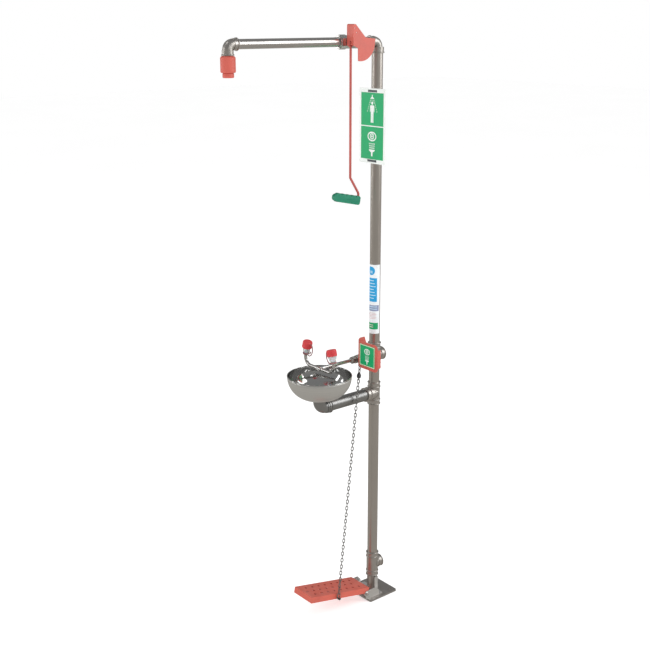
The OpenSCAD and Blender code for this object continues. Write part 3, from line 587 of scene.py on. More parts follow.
@dataclass(frozen=True)
class Moulding:
    """Moulded plastic or rubber."""

    name: str
    tone: Colour
    roughness: float = 0.4
    grain: float = 0.3
    through: float = 0.0
    glow: float = 0.0

    def material(self) -> bpy.types.Material:
        """Builds the finish.

        Returns:
            The material.
        """

        def build(w: Wiring, shader: bpy.types.Node) -> None:
            """Wires the colour, the moulded skin and its softness to light.

            Args:
                w: the material's wiring.
                shader: its Principled shader.
            """
            marks = use(w, handling_marks(), Cloud_Scale=22.0, Fleck_Scale=420.0)
            skin = use(w, coated_skin(), Ripple_Scale=260.0, Grain_Scale=2600.0,
                       Grain=self.grain)
            edge = use(w, worn_edges(), Reach=0.0008, Break_Scale=210.0).outputs["Mask"]
            tone = w.blend(marks.outputs["Cloud"], darker(self.tone, 0.9), self.tone)
            tone = w.blend(w.math("MULTIPLY", edge, 0.25), tone, darker(self.tone, 1.25))
            polish = w.span(marks.outputs["Cloud"], 0.0, 1.0, self.roughness - 0.05,
                            self.roughness + 0.06)
            feed(w, shader, "Base Color", tone)
            feed(w, shader, "Roughness", polish)
            shader.inputs["IOR"].default_value = 1.46
            if self.through > 0.0:
                shader.inputs["Transmission Weight"].default_value = self.through
            if self.glow > 0.0:
                shader.inputs["Subsurface Weight"].default_value = self.glow
                shader.inputs["Subsurface Scale"].default_value = 0.004
            raised(w, shader, skin.outputs["Height"], 0.15, 0.00006)

        return shaded(self.name, build)


@dataclass(frozen=True)
class Film:
    """Printed film or enamel of a sign."""

    name: str
    tone: Colour
    roughness: float = 0.35
    metallic: float = 0.0

    def material(self) -> bpy.types.Material:
        """Builds the finish.

        Returns:
            The material.
        """

        def build(w: Wiring, shader: bpy.types.Node) -> None:
            """Wires the print with faint scuffs.

            Args:
                w: the material's wiring.
                shader: its Principled shader.
            """
            marks = use(w, handling_marks(), Cloud_Scale=18.0, Fleck_Scale=500.0)
            skin = use(w, coated_skin(), Ripple_Scale=700.0, Grain_Scale=3000.0, Grain=0.3)
            tone = w.blend(marks.outputs["Cloud"], darker(self.tone, 0.93), self.tone)
            tone = w.blend(w.math("MULTIPLY", marks.outputs["Fleck"], 0.15), tone,
                           darker(self.tone, 0.8))
            feed(w, shader, "Base Color", tone)
            feed(w, shader, "Roughness",
                 w.span(marks.outputs["Cloud"], 0.0, 1.0, self.roughness, self.roughness + 0.1))
            shader.inputs["Metallic"].default_value = self.metallic
            raised(w, shader, skin.outputs["Height"], 0.08, 0.00003)

        return shaded(self.name, build)


# ------------------------------------------------------------------ mesh tools


def linked(name: str, mesh: bpy.types.Mesh) -> bpy.types.Object:
    """Puts a mesh into the scene as an object.

    Args:
        name: the object's name.
        mesh: its mesh.

    Returns:
        The new piece.
    """
    piece = bpy.data.objects.new(name, mesh)
    bpy.context.scene.collection.objects.link(piece)
    return piece


def from_bmesh(name: str, shape: bmesh.types.BMesh, smooth: bool = True) -> bpy.types.Object:
    """Turns a bmesh into an object.

    Args:
        name: the piece's name.
        shape: the bmesh, which is freed.
        smooth: True for smooth shading.

    Returns:
        The new object.
    """
    bmesh.ops.recalc_face_normals(shape, faces=shape.faces)
    mesh = bpy.data.meshes.new(name)
    shape.to_mesh(mesh)
    shape.free()
    for face in mesh.polygons:
        face.use_smooth = smooth
    return linked(name, mesh)


def turned(name: str, profile: Outline, place: Matrix, steps: int = 96) -> bpy.types.Object:
    """Turns a closed profile about the Z axis of its place.

    Args:
        name: the piece's name.
        profile: (radius, height) points of the closed outline.
        place: where the turning axis stands.
        steps: segments round the axis.

    Returns:
        The turned piece.
    """
    shape = bmesh.new()
    rows = []
    for step in range(steps):
        angle = 2 * math.pi * step / steps
        rows.append([shape.verts.new((r * math.cos(angle), r * math.sin(angle), z))
                     for r, z in profile])
    count = len(profile)
    for step in range(steps):
        here = rows[step]
        after = rows[(step + 1) % steps]
        for i in range(count):
            j = (i + 1) % count
            shape.faces.new((here[i], after[i], after[j], here[j]))
    bmesh.ops.remove_doubles(shape, verts=shape.verts, dist=SAME_CORNER)
    shape.transform(place)
    return from_bmesh(name, shape)


def swept(shape: bmesh.types.BMesh, path: Sequence[Vector], radius: float | Sequence[float],
          sides: int = 20, closed: bool = False) -> None:
    """Adds a round bar along a path to a bmesh.

    Args:
        shape: the bmesh that takes the bar.
        path: points of the centre line.
        radius: one radius, or one for each point.
        sides: segments round the bar.
        closed: True when the path's end joins its start.
    """
    count = len(path)
    radii = [radius] * count if isinstance(radius, float) else list(radius)
    frames = []
    normal = None
    for i in range(count):
        before = path[(i - 1) % count] if closed or i > 0 else path[i]
        after = path[(i + 1) % count] if closed or i < count - 1 else path[i]
        ahead = (after - before).normalized()
        if normal is None:
            normal = ahead.orthogonal().normalized()
        normal = (normal - ahead * normal.dot(ahead)).normalized()
        frames.append((normal.copy(), ahead.cross(normal).normalized()))
    rows = []
    for point, r, (across, up) in zip(path, radii, frames):
        rows.append([shape.verts.new(point + r * (across * math.cos(2 * math.pi * k / sides)
                                                  + up * math.sin(2 * math.pi * k / sides)))
                     for k in range(sides)])
    if closed:
        best = min(range(sides), key=lambda k: (rows[0][k].co - rows[-1][0].co).length)
        rows.append(rows[0][best:] + rows[0][:best])
    for here, after in zip(rows, rows[1:]):
        for k in range(sides):
            m = (k + 1) % sides
            shape.faces.new((here[k], here[m], after[m], after[k]))
    if not closed:
        shape.faces.new(rows[0])
        shape.faces.new(list(reversed(rows[-1])))


def rounded_path(corners: Sequence[Vector], radius: float, steps: int = 10) -> list[Vector]:
    """Rounds the inner corners of a path.

    Args:
        corners: the path's corner points.
        radius: radius of each bend.
        steps: points on each bend.

    Returns:
        The points of the smooth path.
    """
    path = [corners[0]]
    for before, here, after in zip(corners, corners[1:], corners[2:]):
        back = (before - here).normalized()
        ahead = (after - here).normalized()
        half = back.angle(ahead) / 2
        cut = radius / math.tan(half)
        centre = here + (back + ahead).normalized() * radius / math.sin(half)
        start = here + back * cut - centre
        end = here + ahead * cut - centre
        span = start.angle(end)
        for k in range(steps + 1):
            t = k / steps
            arc = start * math.sin((1 - t) * span) + end * math.sin(t * span)
            path.append(centre + arc / math.sin(span))
    path.append(corners[-1])
    return path


def curl(points: Sequence[Vector], per_leg: int = 8) -> list[Vector]:
    """Returns a smooth curve through the points.

    Args:
        points: at least two points.
        per_leg: points made between each two.

    Returns:
        The curve's points.
    """
    padded = [points[0] * 2 - points[1], *points, points[-1] * 2 - points[-2]]
    path = []
    for a, b, c, d in zip(padded, padded[1:], padded[2:], padded[3:]):
        for k in range(per_leg):
            t = k / per_leg
            path.append(0.5 * (2 * b + (c - a) * t + (2 * a - 5 * b + 4 * c - d) * t * t
                               + (3 * b - a - 3 * c + d) * t ** 3))
    path.append(points[-1])
    return path


def slab(shape: bmesh.types.BMesh, outline: Outline, low: float, high: float, place: Placer,
         material: int = 0) -> None:
    """Adds a flat piece with a straight edge to a bmesh.

    Args:
        shape: the bmesh that takes the piece.
        outline: the outline's points.
        low: depth of its back face.
        high: depth of its front face.
        place: turns (x, y, depth) into a point.
        material: index of its material.
    """
    back = [shape.verts.new(place(x, y, low)) for x, y in outline]
    front = [shape.verts.new(place(x, y, high)) for x, y in outline]
    faces = [shape.faces.new(front), shape.faces.new(list(reversed(back)))]
    for i in range(len(outline)):
        j = (i + 1) % len(outline)
        faces.append(shape.faces.new((back[i], back[j], front[j], front[i])))
    for face in faces:
        face.material_index = material


def disc(x: float, y: float, rx: float, ry: float | None = None, steps: int = 40) -> Outline:
    """Makes the outline of a disc or an ellipse.

    Args:
        x: its middle, across.
        y: its middle, upwards.
        rx: its radius across.
        ry: its radius upwards, or None for a round disc.
        steps: points round it.

    Returns:
        The outline's points.
    """
    ry = rx if ry is None else ry
    return [(x + rx * math.cos(2 * math.pi * k / steps), y + ry * math.sin(2 * math.pi * k / steps))
            for k in range(steps)]


def bar(x0: float, y0: float, x1: float, y1: float, width: float) -> Outline:
    """Makes the outline of a straight bar between two points.

    Args:
        x0: its start, across.
        y0: its start, upwards.
        x1: its end, across.
        y1: its end, upwards.
        width: its width.

    Returns:
        The outline's points.
    """
    length = math.hypot(x1 - x0, y1 - y0)
    nx = -(y1 - y0) / length * width / 2
    ny = (x1 - x0) / length * width / 2
    return [(x0 + nx, y0 + ny), (x0 - nx, y0 - ny), (x1 - nx, y1 - ny), (x1 + nx, y1 + ny)]


def band(outer: Outline, inner: Outline) -> list[Outline]:
    """Makes the four-sided pieces between two outlines with as many points.

    Args:
        outer: the outer outline.
        inner: the inner outline.

    Returns:
        The pieces' outlines.
    """
    count = len(outer)
    return [[outer[i], outer[(i + 1) % count], inner[(i + 1) % count], inner[i]]
            for i in range(count)]


def softened(piece: bpy.types.Object, width: float, segments: int = 2, angle: float = 32.0) -> None:
    """Rounds a piece's sharp edges with modifiers, and leaves its own mesh as it is.

    Args:
        piece: the piece.
        width: width of the rounding.
        segments: steps across it.
        angle: least angle of an edge that is rounded, in degrees.
    """
    for name in ("custom_normal", "sharp_edge", "sharp_face"):
        found = piece.data.attributes.get(name)
        if found is not None:
            piece.data.attributes.remove(found)
    for face in piece.data.polygons:
        face.use_smooth = True
    weld = piece.modifiers.new("weld", "WELD")
    weld.merge_threshold = 0.00001
    bevel = piece.modifiers.new("edges", "BEVEL")
    bevel.width = width
    bevel.segments = segments
    bevel.limit_method = "ANGLE"
    bevel.angle_limit = math.radians(angle)
    bevel.harden_normals = True
    bevel.miter_outer = "MITER_ARC"


def dressed(piece: bpy.types.Object, body: Body, slot: Slot, *materials: bpy.types.Material,
            replaces: Iterable[str] = ()) -> bpy.types.Object:
    """Gives a new piece its materials and its body, and reports it.

    Args:
        piece: the new piece.
        body: the body that it moves with.
        slot: not used.
        *materials: its materials in order.
        replaces: the CAD nodes that it stands for.

    Returns:
        The piece.
    """
    for material in materials:
        piece.data.materials.append(material)
    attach(piece, body.value)
    names = list(replaces)
    if names:
        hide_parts(*names)
    LOG.info("piece %s on %s", piece.name, body.value)
    return piece


def weld_bead(shape: bmesh.types.BMesh, path: Sequence[Vector], size: float, pitch: float,
              closed: bool) -> None:
    """Adds a rippled weld bead along a path to a bmesh.

    Args:
        shape: the bmesh that takes the bead.
        path: close points of its centre line.
        size: its mean radius.
        pitch: distance between two ripples.
        closed: True when the bead runs round.
    """
    far = 0.0
    radii = []
    for i, point in enumerate(path):
        if i:
            far += (point - path[i - 1]).length
        radii.append(size * (1.0 + 0.13 * abs(math.sin(math.pi * far / pitch))
                             + 0.06 * math.sin(far * 410.0)))
    swept(shape, path, radii, 10, closed)


def ring_path(centre: Vector, axis: Vector, radius: float, steps: int = 144) -> list[Vector]:
    """Makes the points of a circle about an axis.

    Args:
        centre: the circle's centre.
        axis: its axis.
        radius: its radius.
        steps: points round it.

    Returns:
        The circle's points.
    """
    across = axis.orthogonal().normalized()
    up = axis.normalized().cross(across)
    return [centre + radius * (across * math.cos(2 * math.pi * k / steps)
                               + up * math.sin(2 * math.pi * k / steps)) for k in range(steps)]


# ------------------------------------------------------------------ materials in use


class Palette:
    """All the finishes, each built once."""

    def __init__(self) -> None:
        """Builds every material."""
        brown = (0.60, 0.565, 0.525)
        self.column = GroundSteel("ground_column", brown, 0.3, (1, 1, 0.03), 700.0, 0.1).material()
        self.arm = GroundSteel("ground_arm", (0.62, 0.6, 0.58), 0.2, (1, 0.03, 1), 700.0,
                               0.08).material()
        self.fitting = GroundSteel("cast_fitting", (0.59, 0.56, 0.525), 0.36, (0.4, 0.4, 0.4), 500.0,
                                   0.1).material()
        self.drain = GroundSteel("drain_steel", (0.36, 0.36, 0.355), 0.31, (1, 0.03, 1), 700.0,
                                 0.1).material()
        self.plate = GroundSteel("rolled_plate", (0.52, 0.495, 0.475), 0.45, (0.1, 1, 1), 300.0,
                                 0.18, 0.35).material()
        self.bracket = GroundSteel("bright_bracket", (0.88, 0.87, 0.85), 0.42, (1, 0.1, 1), 420.0,
                                   0.1, 0.15).material()
        self.bright = GroundSteel("bright_parts", (0.7, 0.69, 0.67), 0.2, (0.5, 0.5, 0.5), 800.0,
                                  0.08).material()
        self.chain = GroundSteel("chain_wire", (0.4, 0.4, 0.39), 0.24, (0.5, 0.5, 0.5), 900.0,
                                 0.15).material()
        self.dark = GroundSteel("dark_nut", (0.16, 0.16, 0.17), 0.35, (0.6, 0.6, 0.6), 600.0,
                                0.2).material()
        self.weld = GroundSteel("weld_metal", (0.52, 0.49, 0.45), 0.34, (0.6, 0.6, 0.6), 900.0,
                                0.25).material()
        centre = (0.0, -0.284)
        self.bowl_in = SpunSteel("bowl_polished", (0.6, 0.6, 0.59), 0.08, centre,
                                 0.06).material()
        self.bowl_out = SpunSteel("bowl_satin", (0.8, 0.8, 0.78), 0.4, centre, 0.1).material()
        self.red = Coating("red_enamel", (0.6, 0.115, 0.085), 0.4, 0.3).material()
        self.tread = Coating("red_tread", (0.64, 0.115, 0.075), 0.46, 0.3, dust=0.1).material()
        # Darker red for the cups under the treadle's holes: painted shade in the holes, not the
        # paint's own colour.
        self.shade = Coating("red_tread_cups_painted_shade", (0.34, 0.05, 0.036), 0.55, 0.3,
                             dust=0.3).material()
        self.rod = Coating("red_rod", (0.5, 0.095, 0.08), 0.4, 0.2).material()
        self.head = Moulding("red_head", (0.6, 0.115, 0.085), 0.38, 0.4).material()
        self.cap = Moulding("red_cap", (0.66, 0.055, 0.06), 0.32, 0.2).material()
        self.grip = Moulding("green_grip", (0.012, 0.22, 0.125), 0.36, 0.4).material()
        self.clear = Moulding("milky_funnel", (0.82, 0.86, 0.85), 0.25, 0.2, 0.45,
                              0.2).material()
        self.seat = Moulding("white_seat", (0.82, 0.81, 0.78), 0.3, 0.2).material()
        self.rubber = Moulding("black_rubber", (0.03, 0.03, 0.032), 0.6, 0.7).material()
        self.tether = Moulding("tether_elastic", (0.3, 0.13, 0.13), 0.5, 0.5).material()
        self.filter = Moulding("filter_mesh", (0.3, 0.3, 0.31), 0.5, 0.8).material()
        self.white = Film("white_enamel", (0.82, 0.86, 0.83), 0.4).material()
        self.green = Film("safety_green", (0.0, 0.38, 0.13), 0.38).material()
        self.lime = Film("pale_border", (0.74, 0.8, 0.6), 0.4).material()
        self.strap = GroundSteel("strap_steel", (0.12, 0.13, 0.14), 0.34, (0.05, 1, 1),
                                 500.0).material()
        self.film = Film("label_white", (0.84, 0.88, 0.9), 0.28).material()
        self.blue = Film("label_blue", (0.01, 0.34, 0.68), 0.3).material()
        self.pale = Film("label_pale_blue", (0.5, 0.72, 0.86), 0.3).material()
        self.slate = Film("label_slate", (0.26, 0.3, 0.46), 0.3).material()
        self.pink = Film("label_pink", (0.72, 0.5, 0.5), 0.3).material()
        self.cream = Film("label_cream", (0.8, 0.76, 0.7), 0.3).material()


# ------------------------------------------------------------------ sub-assemblies


@dataclass
class Column:
    """Column with its fittings, the shower arm and the shower head."""

    palette: Palette
    radius: float = 0.0212
    base_top: float = 0.008
    socket_wall: float = 0.003
    supply_branch: float = 0.02425
    wash_branch: float = 0.01565
    drain_branch: float = 0.02715
    waste_z: float = 0.130
    drain_z: float = 0.897
    inlet_z: float = 1.058
    arm_z: float = 2.275
    thread_pitch: float = 0.0018

    def dress(self) -> None:
        """Gives the column's own nodes their finishes."""
        p = self.palette
        finishes = {
            "column_foot": p.column, "waste_column": p.column, "column_spacer": p.column,
            "riser": p.column, "waste_tee": p.fitting, "drain_tee": p.fitting,
            "inlet_cross": p.fitting, "top_elbow": p.fitting, "column_divider": p.dark,
            "valve_nipple": p.arm, "shower_arm": p.arm, "front_elbow": p.fitting,
            "union_nut": p.bright, "base_plate": p.plate, "shower_head": p.head,
            "spray_ring": p.head, "flow_disc": p.filter,
        }
        for name, material in finishes.items():
            finish_node(name, material)
        for name, width in (("base_plate", 0.0009), ("union_nut", 0.0008),
                            ("shower_head", 0.0008), ("spray_ring", 0.0006)):
            softened(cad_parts[name], width, 3)

    def foot_weld(self) -> bpy.types.Object:
        """Builds the rippled weld between the column and its base plate.

        Returns:
            The new piece.
        """
        shape = bmesh.new()
        centre = Vector((0, 0, self.base_top + 0.0014))
        path = ring_path(centre, Vector((0, 0, 1)), self.radius + 0.0013, 180)
        weld_bead(shape, path, 0.0021, 0.0026, True)
        return dressed(from_bmesh("foot_weld", shape), Body.STAND, Slot.STEEL_FITTING,
                       self.palette.weld)

    def saddle_weld(self, name: str, height: float, facing: float, branch: float,
                    run: float) -> bpy.types.Object:
        """Returns the weld where a branch leaves the column.

        Args:
            name: the piece's name.
            height: height of the branch's axis.
            facing: 1 for a branch to the rear, -1 for one to the front.
            branch: outer radius of the branch.
            run: outer radius of the run it leaves.

        Returns:
            The weld piece.
        """
        path = []
        steps = 140
        for k in range(steps):
            angle = 2 * math.pi * k / steps
            x = branch * math.cos(angle)
            depth = math.sqrt(max(run * run - x * x, 0.0))
            path.append(Vector((x, facing * (depth + 0.0004), height + branch * math.sin(angle))))
        shape = bmesh.new()
        weld_bead(shape, path, 0.0012, 0.002, True)
        return dressed(from_bmesh(name, shape), Body.STAND, Slot.STEEL_FITTING, self.palette.weld)

    def thread_turns(self, name: str, centre: Vector, axis: Vector, radius: float, length: float,
                     pitch: float) -> bpy.types.Object:
        """Returns the few turns of thread that show at a screwed joint.

        Args:
            name: the piece's name.
            centre: where the thread starts.
            axis: the way that it runs.
            radius: radius of its crest line.
            length: length that shows.
            pitch: distance between turns.

        Returns:
            The thread piece.
        """
        ahead = axis.normalized()
        across = ahead.orthogonal().normalized()
        up = ahead.cross(across)
        turns = length / pitch
        steps = int(36 * turns)
        path = [centre + ahead * (length * k / steps)
                + radius * (across * math.cos(2 * math.pi * turns * k / steps)
                            + up * math.sin(2 * math.pi * turns * k / steps))
                for k in range(steps + 1)]
        shape = bmesh.new()
        swept(shape, path, pitch * 0.3, 8)
        return dressed(from_bmesh(name, shape), Body.STAND, Slot.STEEL_FITTING, self.palette.arm)

    def build(self) -> None:
        """Builds the column's fine pieces."""
        self.dress()
        self.foot_weld()
        run = self.radius + self.socket_wall
        rear = run + 0.0001
        self.saddle_weld("drain_branch_weld", self.drain_z, -1.0, self.drain_branch, run + 0.0022)
        self.saddle_weld("inlet_branch_weld", self.inlet_z, -1.0, self.wash_branch, run)
        self.saddle_weld("supply_branch_weld", self.inlet_z, 1.0, self.supply_branch, rear)
        self.saddle_weld("waste_branch_weld", self.waste_z, 1.0, self.supply_branch, rear)
        self.thread_turns("arm_thread", Vector((0, -0.1952, self.arm_z)), Vector((0, -1, 0)),
                          0.01685, 0.007, self.thread_pitch)
        self.thread_turns("head_thread", Vector((0, -0.671, 2.2365)), Vector((0, 0, 1)),
                          0.0164, 0.0035, self.thread_pitch)


def finish_node(name: str, material: bpy.types.Material) -> None:
    """Gives a CAD node one material on all of its slots.

    Args:
        name: the node's name.
        material: its material.
    """
    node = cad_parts[name]
    node.data.materials.clear()
    node.data.materials.append(material)
    for face in node.data.polygons:
        face.material_index = 0


@dataclass
class ShowerControl:
    """Shower valve, its folded lever, the pull rod and the grip."""

    palette: Palette
    rod_x: float = 0.044
    rod_y: float = -0.16875
    eye_z: float = 2.267
    eye_ring: float = 0.008
    eye_wire: float = 0.003
    run: float = 0.470
    crank_back: float = 0.040
    crank_drop: float = 0.061
    tail: float = 0.034
    bar: float = 0.0045
    grip_tilt: float = math.radians(12.0)
    grip_length: float = 0.130
    grip_height: float = 0.031
    grip_rise: float = 0.0055
    grip_depth: float = 0.018
    swells: int = 5

    def dress(self) -> None:
        """Gives the valve's and the lever's nodes their finishes."""
        p = self.palette
        for name in ("shower_valve_body", "shower_valve_tailpiece", "shower_valve_gland",
                     "shower_lever_hub", "shower_valve_stem"):
            finish_node(name, p.bright)
            softened(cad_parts[name], 0.0006)
        finish_node("shower_valve_ball", p.bright)
        finish_node("shower_valve_seats", p.seat)
        finish_node("shower_lever", p.red)
        softened(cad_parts["shower_lever"], 0.0007, 3)

    def corner(self) -> Vector:
        """Returns the rod's last corner, inside the grip."""
        return Vector((self.rod_x, self.rod_y + self.crank_back,
                       self.eye_z - self.eye_ring - self.run - self.crank_drop - self.tail))

    def rod(self) -> bpy.types.Object:
        """Builds the bent rod with its eye.

        Returns:
            The new piece.
        """
        top = Vector((self.rod_x, self.rod_y, self.eye_z - self.eye_ring))
        knee = top - Vector((0, 0, self.run))
        heel = Vector((self.rod_x, self.rod_y + self.crank_back, knee.z - self.crank_drop))
        last = self.corner()
        reach = self.grip_length - 0.014
        tip = last + Vector((0, -math.cos(self.grip_tilt), math.sin(self.grip_tilt))) * reach
        shape = bmesh.new()
        eye = ring_path(Vector((self.rod_x, self.rod_y, self.eye_z)), Vector((1, 0, 0)),
                        self.eye_ring, 48)
        swept(shape, eye, self.eye_wire, 16, True)
        line = rounded_path([top, knee, heel, last, tip], 0.0085)
        widths = [self.eye_wire * 0.9, self.bar, *[self.bar] * (len(line) - 1)]
        line.insert(1, top - Vector((0, 0, 0.009)))
        swept(shape, line, widths, 28)
        return dressed(from_bmesh("pull_rod_bar", shape), Body.PULL_HANDLE, Slot.RED_PAINT,
                       self.palette.rod, replaces=["pull_rod"])

    def grip_point(self, along: float, up: float, depth: float = 0.0) -> Vector:
        """Turns the grip's own measures into a point.

        Args:
            along: distance along the grip from the rod's last corner.
            up: distance across it, upwards from its middle.
            depth: distance to the right of its middle plane.

        Returns:
            The point.
        """
        ahead = Vector((0, -math.cos(self.grip_tilt), math.sin(self.grip_tilt)))
        across = Vector((0, math.sin(self.grip_tilt), math.cos(self.grip_tilt)))
        return (self.corner() + ahead * along + across * (up + self.grip_rise)
                + Vector((depth, 0, 0)))

    def grip_outline(self) -> Outline:
        """Makes the grip's side view: (along the grip, across it upwards).

        Returns:
            The outline's points.
        """
        half = self.grip_height / 2
        length = self.grip_length - 0.0118
        base = half - 0.0075
        crown = 0.0102
        outline = [(-0.0005, half - 0.0055), (-0.0015, 0.0), (-0.0005, 0.004 - half)]
        outline += [(0.003, 0.0008 - half), (0.008, -half), (length - 0.008, 0.001 - half)]
        nose = half - 0.002
        for k in range(1, 12):
            angle = -math.pi / 2 + math.pi * k / 12
            outline.append((length - 0.008 + nose * 1.15 * math.cos(angle),
                            0.001 + nose * math.sin(angle)))
        swell = length / self.swells
        for bump in reversed(range(self.swells)):
            centre = swell * (bump + 0.42)
            for k in range(1, 10):
                angle = math.pi * k / 10
                outline.append((centre + swell * 0.5 * math.cos(angle),
                                base + crown * math.sin(angle)))
        return outline

    def grip(self) -> bpy.types.Object:
        """Builds the moulded grip with its finger swells.

        Returns:
            The new piece.
        """
        shape = bmesh.new()
        half = self.grip_depth / 2
        slab(shape, self.grip_outline(), -half, half, self.grip_point)
        piece = from_bmesh("pull_grip_moulding", shape)
        bevel = piece.modifiers.new("round", "BEVEL")
        bevel.width = 0.0042
        bevel.segments = 6
        bevel.limit_method = "ANGLE"
        bevel.angle_limit = math.radians(60)
        return dressed(piece, Body.PULL_HANDLE, Slot.GREEN_PLASTIC, self.palette.grip,
                       replaces=["pull_grip"])

    def grip_seam(self) -> bpy.types.Object:
        """Builds the raised parting line round the grip.

        Returns:
            The new piece.
        """
        path = [self.grip_point(along, up) for along, up in self.grip_outline()]
        shape = bmesh.new()
        swept(shape, path, 0.0004, 6, True)
        return dressed(from_bmesh("grip_parting_line", shape), Body.PULL_HANDLE,
                       Slot.GREEN_PLASTIC, self.palette.grip)

    def grip_panel(self) -> bpy.types.Object:
        """Builds the plain sunk-edge panels on the grip's two sides.

        Returns:
            The new piece.
        """
        outline = []
        for end, start in ((0.02, math.pi / 2), (0.076, -math.pi / 2)):
            for k in range(11):
                angle = start + math.pi * k / 10
                outline.append((end + 0.006 * math.cos(angle), 0.0045 * math.sin(angle)))
        drop = 0.005
        shape = bmesh.new()
        for side in (-1, 1):
            path = [self.grip_point(along, up - drop, side * self.grip_depth / 2)
                    for along, up in outline]
            swept(shape, path, 0.0006, 8, True)
        return dressed(from_bmesh("grip_side_panels", shape), Body.PULL_HANDLE,
                       Slot.GREEN_PLASTIC, self.palette.grip)

    def build(self) -> None:
        """Builds the control's fine pieces."""
        self.dress()
        self.rod()
        self.grip()
        self.grip_seam()
        self.grip_panel()


@dataclass
class EyewashBowl:
    """The bowl with its outlet and the drain line."""

    palette: Palette
    centre_y: float = -0.284
    floor_z: float = 0.939
    rim_z: float = 1.032
    radius: float = 0.1238
    wall: float = 0.0015
    hole: float = 0.020
    flat: float = 0.034
    roll: float = 0.0044
    drain_z: float = 0.897

    def curve(self, grown: float, steps: int) -> Outline:
        """Makes the bowl's curve, grown outwards by a distance.

        Args:
            grown: how far it is grown.
            steps: spans along it.

        Returns:
            The outline's points.
        """
        top = self.rim_z - self.floor_z - self.roll
        points = []
        for k in range(steps + 1):
            a = math.pi / 2 * k / steps
            points.append((self.flat + (self.radius - self.flat + grown) * math.sin(a),
                           top * (1 - math.cos(a)) - grown * math.cos(a)))
        return points

    def shell(self) -> bpy.types.Object:
        """Builds the spun bowl, polished inside and satin outside.

        Returns:
            The new piece.
        """
        top = self.rim_z - self.floor_z - self.roll
        inner = [(self.hole, 0.0), *self.curve(0.0, 44)]
        turn = [(self.radius + self.wall / 2 + self.roll / 2 * math.cos(math.radians(a)),
                 top + self.roll / 2 + 0.001 + self.roll / 2 * math.sin(math.radians(a)))
                for a in range(180, -121, -12)]
        outer = [*reversed(self.curve(self.wall, 44)), (self.hole, -self.wall)]
        profile = [*inner, *turn, *outer]
        place = Matrix.Translation((0, self.centre_y, self.floor_z))
        piece = turned("bowl_shell", profile, place, 192)
        axis = Vector((0, self.centre_y, 0))
        rolled_rim = self.radius + 0.0019
        for face in piece.data.polygons:
            far = face.center - axis
            far.z = 0.0
            inward = face.normal.dot(far) < 0.0 or face.normal.z > 0.4
            face.material_index = 0 if inward or far.length > rolled_rim else 1
        return dressed(piece, Body.STAND, Slot.BOWL_STEEL, self.palette.bowl_in,
                       self.palette.bowl_out, replaces=["bowl"])

    def drain_rings(self) -> bpy.types.Object:
        """Builds the rolled grooves' raised lips on the drain elbow.

        Returns:
            The new piece.
        """
        shape = bmesh.new()
        for far, radius in ((0.0325, 0.02715), (0.0345, 0.02715), (0.0462, 0.02725)):
            centre = Vector((0, self.centre_y + far, self.drain_z))
            swept(shape, ring_path(centre, Vector((0, 1, 0)), radius, 96), 0.0009, 8, True)
        return dressed(from_bmesh("drain_elbow_lips", shape), Body.STAND, Slot.STEEL_FITTING,
                       self.palette.drain)

    def build(self) -> None:
        """Builds the bowl and dresses its fittings."""
        p = self.palette
        for name, material in {"bowl_gasket": p.rubber, "bowl_strainer": p.bright,
                               "bowl_lock_nut": p.bright, "drain_elbow": p.drain,
                               "drain_pipe": p.drain}.items():
            finish_node(name, material)
        softened(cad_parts["bowl_lock_nut"], 0.0008, 3)
        self.shell()
        self.drain_rings()


